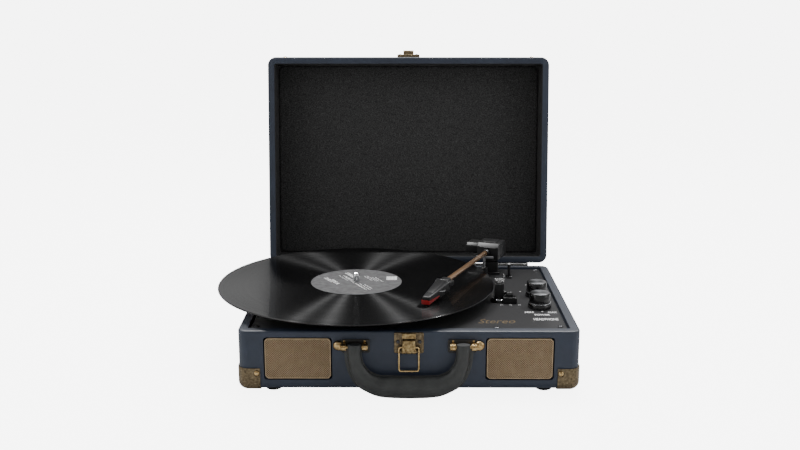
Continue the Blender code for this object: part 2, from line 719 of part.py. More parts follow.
# Arm: pin, tube, hood over the bearing, weight, headshell, cartridge and stylus
pin = arm_frame(rod((0, -10.6, ARM_Z), (0, 11.6, ARM_Z), 1.5, 16))
finish("arm_pivot_pin", pin, STEEL, arm_origin, smooth=True)
tube = arm_frame(rod((-9, 0, ARM_Z), (TUBE_END, 0, ARM_Z), TUBE_R, 20))
tonearm_tube = finish("tonearm_tube", tube, COPPER, arm_origin, smooth=True)
cut(tonearm_tube, arm_frame(rod((0, -8, ARM_Z), (0, 8, ARM_Z), 1.6, 16)))
arm_hood = finish("arm_hood", arm_frame(box(-16, 15, -12.4, 14.0, 86.5, 106, 2.2)), BLACK, arm_origin)
join(arm_hood, arm_frame(rod((12, 0, ARM_Z), (20.5, 0, ARM_Z), 3.9, 20)))
cut(arm_hood, arm_frame(box(-13.5, 12.5, -11.0, 12.0, 80, 103.2)))
cut(arm_hood, arm_frame(rod((10, 0, ARM_Z), (40, 0, ARM_Z), TUBE_R + 0.1, 20)))
weight = arm_frame(box(-7, 12, -27.0, -12.7, 91.5, 103.6, 1.6))
finish("counterweight", weight, STEEL, arm_origin)


def shell_section(a, half, low, high, edge):
    """An eight-sided section of the headshell."""
    return [Vector((a, y, z)) for y, z in (
        (-half + edge, low), (half - edge, low), (half, low + edge), (half, high - edge),
        (half - edge, high), (-half + edge, high), (-half, high - edge), (-half, low + edge),
    )]


head_sections = [
    shell_section(149.3, 4.2, 91.6, 98.4, 1.0),
    shell_section(155.0, 8.6, 89.4, 98.6, 1.6),
    shell_section(164.0, 9.2, 88.6, 98.2, 2.0),
    shell_section(192.0, 7.6, 88.6, 95.8, 2.0),
    shell_section(207.0, 5.6, 88.6, 92.6, 1.2),
]
finish("headshell", arm_frame(loft(head_sections)), BLACK, arm_origin)
cartridge = arm_frame(box(166, 182, -5.4, 5.4, 85.2, 88.3, 0.6))
finish("cartridge", cartridge, BLACK, arm_origin)
stylus_side = [(182.4, 88.3), (182.4, 87.2), (202.0, 83.5), (208.5, 86.6), (208.5, 88.3)]
stylus = loft([[Vector((a, y, z)) for a, z in stylus_side] for y in (-3.8, 3.8)])
finish("stylus", arm_frame(stylus), RED, arm_origin)

# Cue lever and the lifter that it raises
cue_origin = (*CUE_XY, CUE_Z)
cue_lever = finish(
    "cue_lever", box(CUE_XY[0] - 1.4, CUE_XY[0] + 1.4, CUE_XY[1] - 1.5, CUE_XY[1] + 1.5, 64.0, 83.0, 0.4), BLACK, cue_origin
)
join(cue_lever, rod((CUE_XY[0] - 2.6, CUE_XY[1], CUE_Z), (CUE_XY[0] + 2.6, CUE_XY[1], CUE_Z), 2.2, 16))

ARC_FROM = -136.0
ARC_TO = -87.0


def arc_section(degrees):
    angle = math.radians(degrees)
    return [
        Vector((ARM_X + r * math.cos(angle), ARM_Y + r * math.sin(angle), z))
        for r, z in ((22.2, 90.0), (25.8, 90.0), (25.8, 91.9), (22.2, 91.9))
    ]


arc = loft([arc_section(ARC_FROM + (ARC_TO - ARC_FROM) * k / 8) for k in range(9)])
lift_bar = finish("lift_bar", arc, CHROME, (*lift_xy, 80.0))
join(lift_bar, rod((*lift_xy, 73.5), (*lift_xy, 91.0), 1.5, 16))

# Arm rest with the housing of the speed switch beside it
rest_profile = [(0, 66.8), (9.0, 66.8), (8.6, 68.8), (6.2, 70.2), (4.9, 71.0), (4.9, 82.6), (4.4, 83.2), (0, 83.2)]
arm_rest = finish("arm_rest", lathe(rest_profile, 20, (REST_X, REST_Y)), BLACK)
cradle = [
    (-3.2, 82.0), (-4.9, 90.8), (-4.0, 91.5), (3.4, 91.5), (3.6, 96.0), (4.2, 97.2), (5.4, 97.2), (5.4, 90.0), (3.2, 82.0),
]
cradle_rings = [[Vector((REST_X + x, y, z)) for x, z in cradle] for y in (REST_Y - 3, REST_Y + 3)]
join(arm_rest, loft(cradle_rings))
join(arm_rest, box(SPEED_XY[0] - 7.5, SPEED_XY[0] + 7.5, SPEED_XY[1] - 6, SPEED_XY[1] + 6, 66.9, 73.6, 0.5))
join(arm_rest, box(REST_X, SPEED_XY[0] - 6.5, SPEED_XY[1] + 1, REST_Y + 1, 66.9, 70.0))
cut(arm_rest, slab(6.2, 1.4, 1.0, 70.0, 80.0, SPEED_XY))


def slider(name, place, half_x, half_y, z0, z1, tail_z):
    """A sliding button with a tail in its slot."""
    cap = box(place[0] - half_x, place[0] + half_x, place[1] - half_y, place[1] + half_y, z0, z1, 0.4)
    obj = finish(name, cap, BLACK, (*place, z0))
    return join(obj, box(place[0] - 1.8, place[0] + 1.8, place[1] - 0.9, place[1] + 0.9, tail_z, z0 + 1.2))


slider("speed_switch", SPEED_XY, 3.2, 4.2, 73.9, 77.0, 70.8)
slider("auto_stop_switch", STOP_XY, 3.0, 2.2, 66.8, 70.6, 60.5)

# Control knobs: a wide skirt under a narrower grip, on the pots' shafts
knob_profile = [
    (0, 73.4), (KNOB_SHAFT_R + RUNNING, 73.4), (KNOB_SHAFT_R + RUNNING, 67.0), (12.4, 67.0), (12.0, 72.4),
    (10.9, 73.0), (10.5, 82.6), (10.0, 83.2), (0, 83.2),
]
for name, place in (("volume_knob", VOLUME_XY), ("function_knob", FUNCTION_XY)):
    finish(name, lathe(knob_profile, 28, place), BLACK, (*place, 0), smooth=True)

# Lid: a tray turned upside down, built closed and turned open
lid_low = RIM_TOP + LID_GAP
lid_top = lid_low + LID_DEPTH - LID_GAP
lid_rings = [inset_ring(LID_WALL, lid_top - LID_TOP_THICK), inset_ring(LID_WALL, lid_low + 0.5)]
lid_rings += [inset_ring(LID_WALL - 0.5, lid_low), inset_ring(1.5, lid_low), inset_ring(0.4, lid_low + 0.5)]
lid_rings += [inset_ring(0.0, lid_low + 1.5)]
for inset, z in quarter(
    lambda a: LID_TOP_R * (1 - math.cos(a)),
    lambda a: lid_top - LID_TOP_R * (1 - math.sin(a)),
    4,
):
    lid_rings.append(inset_ring(inset, z))
finish("lid_shell", open_lid(loft(lid_rings)), NAVY, HINGE_ORIGIN)
lining_z = lid_top - LID_TOP_THICK
lining = slab(160.5, 115.5, 2.0, lining_z - 2.1, lining_z - 0.3, edge=0.5)
finish("lid_lining", open_lid(lining), LINING, HINGE_ORIGIN)

catch = stand_up(slab(13.4, 4.8, 1.2, 0.2, 3.2, (0, 75.6), edge=0.5), -125.0)
lid_catch = finish("lid_catch", open_lid(catch), BRASS, HINGE_ORIGIN)
join(lid_catch, open_lid(box(-6.15, 6.15, -133.2, -126.5, 72.6, 78.6, 0.6)))

corner_copies(
    "lid_corner", 1, BRASS, lambda: corner_shell(LID_TOP_R, 22.0, 20.0, 9.0, 0.2, 1.2), lid_top, True, True
)
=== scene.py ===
"""Looks of a suitcase record player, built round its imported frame.

Lengths are in millimetres from the middle of the case on the table, X to the right, Y to the
back and Z up, and at() turns them into metres in the frame.
"""

import math

import bpy
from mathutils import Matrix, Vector


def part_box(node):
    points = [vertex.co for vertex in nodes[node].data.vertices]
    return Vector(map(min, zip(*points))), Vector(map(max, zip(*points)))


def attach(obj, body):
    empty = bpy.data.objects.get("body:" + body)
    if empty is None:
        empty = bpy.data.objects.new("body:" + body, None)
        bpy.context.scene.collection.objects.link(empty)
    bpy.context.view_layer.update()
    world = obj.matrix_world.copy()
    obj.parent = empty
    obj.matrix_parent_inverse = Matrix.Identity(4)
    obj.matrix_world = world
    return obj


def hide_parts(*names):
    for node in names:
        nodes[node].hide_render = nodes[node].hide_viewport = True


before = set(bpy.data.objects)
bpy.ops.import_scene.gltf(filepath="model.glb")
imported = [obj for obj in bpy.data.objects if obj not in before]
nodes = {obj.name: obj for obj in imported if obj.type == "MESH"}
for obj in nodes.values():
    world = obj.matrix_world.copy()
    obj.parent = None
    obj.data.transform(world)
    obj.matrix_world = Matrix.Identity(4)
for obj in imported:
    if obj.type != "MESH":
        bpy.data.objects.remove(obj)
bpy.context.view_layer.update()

# --- Case body ---
# Board glued into a box and wrapped in navy leatherette, a cloth coated with vinyl and pressed
# with a fine grain. The edges are rounded so that the cover turns over them.
case_low, case_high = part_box("base_case")
CASE_MIDDLE_X = (case_low[0] + case_high[0]) / 2
CASE_MIDDLE_Y = (case_low[1] + case_high[1]) / 2
CASE_X = 170.0
CASE_Y = 125.0
CASE_BOTTOM = 7.0
RIM_TOP = 68.5


def at(x, y, z):
    """A point given in millimetres from the middle of the case."""
    return Vector((CASE_MIDDLE_X + x * 0.001, CASE_MIDDLE_Y + y * 0.001, z * 0.001))


def place_of(point):
    """The same point the other way round, in millimetres."""
    return Vector(((point[0] - CASE_MIDDLE_X) * 1000, (point[1] - CASE_MIDDLE_Y) * 1000, point[2] * 1000))


def leave_edit():
    """Go back to object mode."""
    bpy.ops.object.mode_set(mode="OBJECT")


def select_none():
    """Leave no object selected before a primitive is added."""
    bpy.ops.object.select_all(action="DESELECT")


def select_whole():
    """Select all of the mesh being edited."""
    bpy.ops.mesh.select_all(action="SELECT")


def close_outwards():
    """Turn every face of the mesh being edited to point outwards, and leave edit mode."""
    select_whole()
    bpy.ops.mesh.normals_make_consistent(inside=False)
    leave_edit()


def settle(name):
    """Name the piece just added, and put its place into its mesh."""
    bpy.ops.object.transform_apply(location=True, rotation=True, scale=True)
    piece = bpy.context.object
    piece.name = name
    piece.data.name = name
    return piece


def block(name, low, high, *edges):
    """Start a piece as a cube between two corners; edges are (width, segments, test) to round off."""
    select_none()
    middle = at(*[(a + b) / 2 for a, b in zip(low, high)])
    size = [(b - a) * 0.001 for a, b in zip(low, high)]
    bpy.ops.mesh.primitive_cube_add(size=1.0, location=middle, scale=size)
    piece = settle(name)
    for edge in edges:
        round_edges(piece, *edge)
    return piece


def focus(piece):
    """Make one piece the only selected and active one."""
    select_none()
    piece.select_set(True)
    bpy.context.view_layer.objects.active = piece


def pick(piece, kind, test):
    """Select, in edit mode, the faces, edges or corners whose place and direction pass a test."""
    if bpy.context.object is not None and bpy.context.object.mode == "EDIT":
        leave_edit()
    focus(piece)
    mesh = piece.data
    bpy.context.tool_settings.mesh_select_mode = (kind == "VERT", kind == "EDGE", kind == "FACE")
    for group in (mesh.vertices, mesh.edges, mesh.polygons):
        group.foreach_set("select", [False] * len(group))
    if kind == "FACE":
        for face in mesh.polygons:
            face.select = test(place_of(face.center), face.normal)
    elif kind == "EDGE":
        for edge in mesh.edges:
            start, end = (mesh.vertices[i].co for i in edge.vertices)
            edge.select = test(place_of((start + end) / 2), (end - start).normalized())
    else:
        for corner in mesh.vertices:
            corner.select = test(place_of(corner.co), corner.normal)
    bpy.ops.object.mode_set(mode="EDIT")


def shift(piece, kind, test, *move):
    """Move what passes a test by metres along X, Y and Z."""
    pick(piece, kind, test)
    bpy.ops.transform.translate(value=move)
    leave_edit()


def narrow(piece, test, share, centre):
    """Scale what passes a test across X towards a centre."""
    pick(piece, "FACE", test)
    bpy.ops.transform.resize(value=(share, 1, 1), center_override=at(*centre))
    leave_edit()


def round_edges(piece, width, segments, test):
    """Round off the edges that pass a test."""
    pick(piece, "EDGE", test)
    bpy.ops.mesh.bevel(offset=width * 0.001, segments=segments, affect="EDGES", clamp_overlap=True)
    leave_edit()


def carve(piece, *tools):
    """Cut tools out of a piece, and throw the tools away."""
    for tool in tools:
        focus(piece)
        modifier = piece.modifiers.new("carve", "BOOLEAN")
        modifier.operation = "DIFFERENCE"
        modifier.solver = "EXACT"
        modifier.object = tool
        bpy.ops.object.modifier_apply(modifier=modifier.name)
        focus(tool)
        bpy.ops.object.delete()


def upright(place, along):
    """Edges that stand up."""
    return abs(along.z) > 0.9


def front_to_back(place, along):
    """Edges that run along Y."""
    return abs(along.y) > 0.9


def sideways(place, along):
    """Edges that run along X."""
    return abs(along.x) > 0.9


def everywhere(place, along):
    return True


def above(height):
    """What lies above a height."""
    return lambda place, along: place.z > height


def in_front_of(y):
    """What lies nearer the front than a place."""
    return lambda place, along: place.y < y


def facing_up(place, normal):
    return normal.z > 0.9


def facing_front(place, normal):
    return normal.y < -0.9


def linear(code):
    """The linear colour of an sRGB hex value."""
    values = [int(code[i:i + 2], 16) / 255 for i in (1, 3, 5)]
    return (*[v / 12.92 if v <= 0.04045 else ((v + 0.055) / 1.055) ** 2.4 for v in values], 1.0)


def add_node(material, kind, links=(), **settings):
    """Add a shader node: links are (socket, value) or (socket, node, output), settings its own values."""
    item = material.node_tree.nodes.new("ShaderNode" + kind)
    for key, value in settings.items():
        setattr(item, key, value)
    for link in links:
        if len(link) == 3:
            material.node_tree.links.new(link[1].outputs[link[2]], item.inputs[link[0]])
        else:
            item.inputs[link[0]].default_value = link[1]
    return item


def start_material(name, colour, roughness, metallic=0.0, sockets=()):
    """A named material with its plain values, and any in sockets, on the shader."""
    material = bpy.data.materials.new(name)
    material.use_nodes = True
    shader = material.node_tree.nodes["Principled BSDF"]
    shader.inputs["Base Color"].default_value = linear(colour)
    shader.inputs["Roughness"].default_value = roughness
    shader.inputs["Metallic"].default_value = metallic
    if metallic == 0.0:
        shader.inputs["IOR"].default_value = 1.5
    for socket, value in sockets:
        shader.inputs[socket].default_value = value
    return material, shader


def connect(material, source, output, target, socket):
    material.node_tree.links.new(source.outputs[output], target.inputs[socket])


def finish(name, colour, roughness, size, detail=2.0, tints=None, dull=None, relief=None, metallic=0.0, sockets=(),
        rough=0.5):
    """A material with one grain of a size in millimetres.

    The grain moves the colour between tints, the roughness between the two values of dull, and
    stands up by relief, a strength and a depth in metres.
    """
    material, shader = start_material(name, colour, roughness, metallic, sockets)
    spot = add_node(material, "TexCoord")
    grain = add_node(material, "TexNoise", [("Vector", spot, "Object"), ("Scale", 1000 / size), ("Detail", detail),
        ("Roughness", rough)])
    if tints:
        shade = add_node(material, "ValToRGB", [("Fac", grain, "Fac")])
        for stop, (position, code) in zip(shade.color_ramp.elements, tints):
            stop.position = position
            stop.color = linear(code)
        connect(material, shade, "Color", shader, "Base Color")
    if dull:
        spread = add_node(material, "MapRange", [("Value", grain, "Fac"), ("To Min", dull[0]), ("To Max", dull[1])])
        connect(material, spread, "Result", shader, "Roughness")
    if relief:
        bump = add_node(material, "Bump", [("Height", grain, "Fac"), ("Strength", relief[0]),
            ("Distance", relief[1])])
        connect(material, bump, "Normal", shader, "Normal")
    return material, shader


# Navy leatherette: pebbles about 1.1 mm across with hair-fine creases, and a soft sheen where
# the vinyl skin turns over an edge. The grain is drawn shallow, as it hardly shows from a step away.
leatherette, shader = finish("vinyl_leatherette_navy", "#252e3d", 0.5, 30, tints=((0.3, "#222a38"), (0.7, "#283141")),
    sockets=(("Specular IOR Level", 0.42), ("Coat Weight", 0.06), ("Coat Roughness", 0.45)))
spot = add_node(leatherette, "TexCoord")
pebble = add_node(leatherette, "TexVoronoi", [("Vector", spot, "Object"), ("Scale", 1000 / 1.1)], feature="SMOOTH_F1")
crease = add_node(leatherette, "TexNoise", [("Vector", spot, "Object"), ("Scale", 1000 / 0.4)])
pressed = add_node(leatherette, "Bump", [("Height", pebble, "Distance"), ("Strength", 0.22), ("Distance", 0.0002)])
grain = add_node(leatherette, "Bump", [("Height", crease, "Fac"), ("Normal", pressed, "Normal"), ("Strength", 0.12),
    ("Distance", 0.0001)])
connect(leatherette, grain, "Normal", shader, "Normal")


def hand_over(piece, body, material, slot, *replaced, smooth=35):
    """Finish a piece: its material, its shading, the body it rides on and the nodes it stands for."""
    if bpy.context.object is not None and bpy.context.object.mode == "EDIT":
        leave_edit()
    focus(piece)
    if not piece.data.materials:
        piece.data.materials.append(material)
    if smooth:
        bpy.ops.object.shade_smooth_by_angle(angle=math.radians(smooth))
    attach(piece, body)
    if replaced:
        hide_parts(*replaced)
    return piece


def rounded_cutter(name, low, high, axis, radius, segments=5):
    """A cutter for a window whose corners along one axis are round."""
    return block(name, low, high, (radius, segments, lambda place, along: abs(along[axis]) > 0.9))


GRILLE_X = 110.2
GRILLE_Z = 39.75

case_body = block("case_body", (-CASE_X, -CASE_Y, CASE_BOTTOM), (CASE_X, CASE_Y, RIM_TOP), (10.0, 10, upright),
    (7.0, 8, lambda place, along: place.z < CASE_BOTTOM + 0.01), (2.0, 5, above(RIM_TOP - 0.01)))
carve(case_body, rounded_cutter("deck_rebate", (-160.5, -115.5, 63.2), (160.5, 115.5, 80), 2, 1.0, 3),
    block("case_inside", (-156, -111, 10.6), (156, 111, 64)), block("board_rebate", (-160.5, -115.5, 0),
    (160.5, 115.5, 10.6)), *[rounded_cutter("grille_window", (x - 34.1, -130, GRILLE_Z - 22.2),
    (x + 34.1, -100, GRILLE_Z + 22.2), 1, 3.5) for x in (-GRILLE_X, GRILLE_X)], rounded_cutter("socket_window",
    (29.0, 100, 26.0), (91.0, 130, 46.0), 1, 2.0))
select_none()
bpy.ops.mesh.primitive_cylinder_add(vertices=32, radius=0.0052, depth=0.04, location=at(165, -80, 45),
    rotation=(0, math.radians(90), 0))
carve(case_body, settle("headphone_hole"))
hand_over(case_body, "base", leatherette, "leatherette", "base_case")

# --- Base board and feet ---
# A sheet of dark pressed hardboard let into the bottom, and four moulded rubber feet, each held
# by a screw in a cup in its middle.
hardboard, shader = finish("pressed_hardboard", "#33291f", 0.75, 0.9, 6.0, tints=((0.0, "#241c15"), (1.0, "#46392b")),
    relief=(0.2, 0.0001))


def give(name, material):
    """Give a finish to a CAD node whose shape stays."""
    nodes[name].data.materials.clear()
    nodes[name].data.materials.append(material)


give("bottom_panel", hardboard)


def turned(name, place, profile, axis=2, sides=48):
    """A round piece drawn out from a disc, ring after ring; profile is (radius, place along axis)."""
    select_none()
    tilt = ((0, math.radians(90), 0), (math.radians(90), 0, 0), (0, 0, 0))[axis]
    centre = list(place)
    centre[axis] = profile[0][1]
    bpy.ops.mesh.primitive_circle_add(vertices=sides, radius=profile[0][0] * 0.001, fill_type="NGON",
        location=at(*centre), rotation=tilt)
    piece = settle(name)
    bpy.ops.object.mode_set(mode="EDIT")
    select_whole()
    for (r0, z0), (r1, z1) in zip(profile, profile[1:]):
        step = [0.0, 0.0, 0.0]
        step[axis] = (z1 - z0) * 0.001
        bpy.ops.mesh.extrude_region_move(TRANSFORM_OT_translate={"value": step})
        centre[axis] = z1
        spread = [r1 / r0] * 3
        spread[axis] = 1.0
        if r1 != r0:
            bpy.ops.transform.resize(value=spread, center_override=at(*centre))
    close_outwards()
    return piece


# Moulded rubber: matt, nearly black, with a faint bloom.
rubber, shader = finish("moulded_rubber", "#1a1a1a", 0.85, 0.6, 4.0, dull=(0.75, 0.95), relief=(0.15, 0.00005))

for number, (x, y) in enumerate(((-137.5, -102), (137.5, -102), (-137.5, 102), (137.5, 102)), 1):
    hand_over(turned(f"rubber_foot_{number}", (x, y, 0), [(2.6, 3.0), (2.8, 0.9), (3.6, 0.25), (5.6, 0.0), (7.0, 0.1),
        (8.0, 0.7), (8.5, 1.8), (8.7, 6.9)]), "base", rubber, "rubber", f"foot_{number}")

# --- Deck ---
# One ABS moulding with a fine spark-eroded grain, dropped into the case and held by dark
# cross-head screws in small sinks near its edges.
DECK_TOP = 66.5
# The real grain is about 0.15 mm; it is drawn at 0.5 mm so that it shows.
deck_finish, shader = finish("grained_abs_deck", "#3b3b3c", 0.42, 0.5, 5.0,
    tints=((0.35, "#2b2b2c"), (0.7, "#3d3d3e")), relief=(0.35, 0.0001), sockets=(("Specular IOR Level", 0.22),))
give("deck_plate", deck_finish)

# Black-zinc screw: a dark passivated steel that still glints on its rounded head.
screw_black, shader = finish("black_zinc_screw", "#4a4a4c", 0.32, 0.8, dull=(0.2, 0.5), metallic=1.0)


def copy_to(piece, name, x, y, z):
    """A copy of a piece with its own mesh, moved by a number of millimetres."""
    focus(piece)
    bpy.ops.object.duplicate(linked=False)
    bpy.ops.transform.translate(value=(x * 0.001, y * 0.001, z * 0.001))
    return settle(name)


def cross_head(name, place, radius, rise, axis=2, sign=1.0, sides=24):
    """A round-headed screw with a cross cut into it."""
    base = place[axis]
    profile = [(radius, base), (radius, base + sign * rise * 0.35), (radius * 0.9, base + sign * rise * 0.65),
        (radius * 0.68, base + sign * rise * 0.88), (radius * 0.4, base + sign * rise)]
    head = turned(name, place, profile, axis, sides)
    slots = []
    for turn in range(2):
        low = [place[i] - radius * 0.12 for i in range(3)]
        high = [place[i] + radius * 0.12 for i in range(3)]
        long_way = [i for i in range(3) if i != axis][turn]
        low[long_way] = place[long_way] - radius * 0.6
        high[long_way] = place[long_way] + radius * 0.6
        low[axis], high[axis] = sorted((base + sign * rise * 0.5, base + sign * rise * 3))
        slots.append(block("cross_cut", low, high))
    carve(head, *slots)
    return head


deck_screw = cross_head("deck_screw_1", (-152.5, -106, DECK_TOP + 0.02), 2.6, 1.3)
screw_places = ((152.5, -104), (153.5, 108), (-152.5, 106), (-20, 109), (88, -108))
deck_screws = [copy_to(deck_screw, f"deck_screw_{number}", x + 152.5, y + 106, 0) for number,
    (x, y) in enumerate(screw_places, 2)]
for piece in (deck_screw, *deck_screws):
    hand_over(piece, "base", screw_black, "steel")

# --- Printed words and marks ---
# Pad-printed on the deck in white and gold ink, a film that stands just proud of the plastic.
white_ink, shader = finish("white_pad_ink", "#ffffff", 0.5, 0.6, dull=(0.42, 0.6))
gold_ink, shader = finish("gold_pad_ink", "#6f5a34", 0.45, 0.6, dull=(0.36, 0.56))


def printed(name, words, place, height, material, width=None, body="base", up=0.0, slot="deck", bold=0.0, slant=0.0):
    """A printed word lying flat, its middle at a place."""
    select_none()
    bpy.ops.object.text_add(location=(0, 0, 0))
    text = bpy.context.object
    text.data.body = words
    text.data.size = height * 0.001 * 1.35
    text.data.align_x = "CENTER"
    text.data.align_y = "CENTER"
    text.data.extrude = 0.00004
    text.data.offset = bold
    text.data.shear = slant
    text.data.resolution_u = 3
    bpy.ops.object.convert(target="MESH")
    word = bpy.context.object
    if width is not None:
        word.scale.x = width * 0.001 / word.dimensions.x
    word.rotation_euler = (0, 0, up)
    word.location = at(*place)
    settle(name)
    return hand_over(word, body, material, slot, smooth=0)


for name, words, x, y, height, width in (("min", "MIN", 126.5, -57.5, 5.0, 9.0),
        ("max", "MAX", 151.0, -57.5, 5.0, 9.0), ("power", "POWER", 139.0, -66.0, 5.0, 16.0),
        ("phones", "HEADPHONE", 141.0, -81.0, 7.0, 25.5)):
    printed(f"word_{name}", words, (x, y, DECK_TOP + 0.06), height, white_ink, width, bold=0.0002)
printed("word_stereo", "Stereo", (89.0, -88.0, DECK_TOP + 0.06), 14.0, gold_ink, 38.0, slant=0.35)
for number, speed in enumerate(("33", "45", "78")):
    printed(f"word_{speed}", speed, (100.0 + 9.5 * number, -31.5, DECK_TOP + 0.06), 2.6, white_ink)
for number, (x, y, r) in enumerate(((134.9, 45.7, 0.9), (125.5, 19.2, 0.9), (140.6, -55.2, 1.1)), 1):
    hand_over(turned(f"printed_dot_{number}", (x, y, 0), [(r, DECK_TOP + 0.03), (r, DECK_TOP + 0.08)], sides=20),
        "base", white_ink, "deck")

# --- Speaker grilles and drivers ---
# Each grille is bronze-lacquered wire cloth, pillowed a little and pressed into a thin frame of
# the same colour, let into its window over a black paper cone.
bronze, shader = finish("bronze_lacquered_wire", "#b09a7c", 0.5, 9, 2.0, tints=((0.3, "#ae987a"), (0.7, "#bca687")),
    metallic=0.2)
# Speaker cloth behind the wire: brown woven cotton, 0.6 mm threads.
backing, shader = finish("brown_speaker_cloth", "#77644f", 0.9, 0.6, relief=(0.5, 0.0002))

FRONT = -125.0


def grille_outline(name, half_x, half_z, radius, y):
    """A standing rounded sheet in a grille window, facing the front."""
    select_none()
    bpy.ops.mesh.primitive_plane_add(size=1.0, location=at(-GRILLE_X, y, GRILLE_Z), rotation=(math.radians(90), 0, 0))
    bpy.context.object.scale = (half_x * 0.002, half_z * 0.002, 1)
    sheet = settle(name)
    pick(sheet, "VERT", everywhere)
    bpy.ops.mesh.bevel(offset=radius * 0.001, segments=6, affect="VERTICES")
    return sheet


grille_frame = grille_outline("grille_frame_l", 32.6, 20.8, 4.0, FRONT - 0.15)
pick(grille_frame, "FACE", everywhere)
bpy.ops.mesh.inset(thickness=0.0006)
bpy.ops.mesh.delete(type="FACE")
select_whole()
bpy.ops.mesh.extrude_region_move(TRANSFORM_OT_translate={"value": (0, 0.003, 0)})
close_outwards()
round_edges(grille_frame, 0.2, 2, in_front_of(FRONT - 0.1))

# The cloth of wires: a square mesh turned by 45 degrees, trimmed to the frame and thickened.
select_none()
bpy.ops.mesh.primitive_grid_add(x_subdivisions=54, y_subdivisions=54, size=0.0864,
    location=at(-GRILLE_X, FRONT + 0.3, GRILLE_Z), rotation=(math.radians(90), math.radians(45), 0))
wire_cloth = settle("wire_cloth_l")
bpy.ops.object.mode_set(mode="EDIT")
trims = [((-GRILLE_X + side * 32.3, 0, 0), (side, 0, 0)) for side in (-1, 1)]
trims += [((0, 0, GRILLE_Z + side * 20.5), (0, 0, side)) for side in (-1, 1)]
trims += [((-GRILLE_X + across * 31.1, 0, GRILLE_Z + up * 19.3), (across, 0, up)) for across in (-1, 1)
    for up in (-1, 1)]
for side, direction in trims:
    select_whole()
    bpy.ops.mesh.bisect(plane_co=at(*side), plane_no=direction, clear_outer=True)
pick(wire_cloth, "VERT", lambda place, normal: abs(place.x + GRILLE_X) < 20 and abs(place.z - GRILLE_Z) < 10)
bpy.ops.transform.translate(value=(0, -0.0007, 0), use_proportional_edit=True, proportional_size=0.012,
    proportional_edit_falloff="SMOOTH")
leave_edit()
lattice = wire_cloth.modifiers.new("wires", "WIREFRAME")
lattice.thickness = 0.00075
lattice.use_boundary = True
lattice.use_even_offset = False
bpy.ops.object.modifier_apply(modifier="wires")

cloth_back = grille_outline("speaker_cloth_l", 32.3, 20.5, 3.6, FRONT + 1.4)
leave_edit()
skin = cloth_back.modifiers.new("thickness", "SOLIDIFY")
skin.thickness = 0.0006
bpy.ops.object.modifier_apply(modifier="thickness")

for piece, material, stem in ((grille_frame, bronze, "grille_frame"), (wire_cloth, bronze, "wire_cloth"),
        (cloth_back, backing, "speaker_cloth")):
    other = copy_to(piece, f"{stem}_r", 2 * GRILLE_X, 0, 0)
    hand_over(piece, "base", material, "bronze_mesh", "speaker_grille_l")
    hand_over(other, "base", material, "bronze_mesh", "speaker_grille_r")

# Black felted paper for the cones.
paper, shader = finish("felted_paper_cone", "#161616", 0.9, 1.2, 6.0, relief=(0.4, 0.0002))
for tag in ("l", "r"):
    give(f"speaker_driver_{tag}", paper)

# --- Corner protectors on the case ---
# Stamped steel caps, antique-brass plated and lacquered, with two domed rivets each. The plating
# is mottled brown in the hollows and rubbed bright on the bends.
brass, shader = finish("antique_brass_plate", "#5c4f3a", 0.36, 2.2, 5.0, tints=((0.34, "#493f31"), (0.72, "#85765b")),
    dull=(0.48, 0.3), relief=(0.12, 0.0001), metallic=0.9, rough=0.65)


def corner_form(name, grow, z_low, z_high, edge_r, x_low, y_high, at_bottom=True):
    """The outer corner of the case at +X, -Y, grown outwards by a distance."""
    form = block(name, (x_low, FRONT - grow, z_low), (CASE_X + grow, y_high, z_high),
        (10.0 + grow, 8, lambda place, along: upright(place, along) and place.x > CASE_X and place.y < FRONT))
    edge_z = z_low if at_bottom else z_high
    round_edges(form, edge_r + grow, 7, lambda place, along: abs(place.z - edge_z) < 0.01
        and (place.x > CASE_X - 11 and place.y < FRONT + 11 or place.x > CASE_X - 0.01 or place.y < FRONT + 0.01))
    return form


def join_up(name, *parts):
    """Join parts that are one stamping or assembly into one piece."""
    focus(parts[0])
    for part in parts[1:]:
        part.select_set(True)
    bpy.ops.object.join()
    return settle(name)


def mirrored(piece, name, x_side, y_side):
    """A copy of a piece on the other side of the case."""
    focus(piece)
    bpy.ops.object.duplicate(linked=False)
    copy = bpy.context.object
    bpy.ops.object.mode_set(mode="EDIT")
    select_whole()
    bpy.ops.transform.resize(value=(x_side, y_side, 1), center_override=at(0, 0, 0))
    if x_side * y_side < 0:
        bpy.ops.mesh.flip_normals()
    leave_edit()
    copy.name = name
    copy.data.name = name
    return copy


# Polished brass plating on the rivets, knuckles and lugs, lighter than the mottled caps.
bright_brass, shader = finish("polished_brass_plate", "#b79c6c", 0.22, 1.8, 4.0,
    tints=((0.3, "#8b7047"), (0.6, "#c4aa7c")), metallic=1.0)


def cap_rivets(name, x, y, z):
    """The two domed rivets of a cap: one in the front, one in the side."""
    return join_up(name, turned("rivet_front", (x, 0, z), [(2.9, FRONT - 0.5), (2.9, FRONT - 1.2), (2.6, FRONT - 1.9),
        (1.8, FRONT - 2.5), (0.8, FRONT - 2.75)], 1, 28), turned("rivet_side", (0, y, z),
        [(2.8, CASE_X + 0.4), (2.7, CASE_X + 0.7), (2.1, CASE_X + 0.98), (0.9, CASE_X + 1.12)], 0, 28))


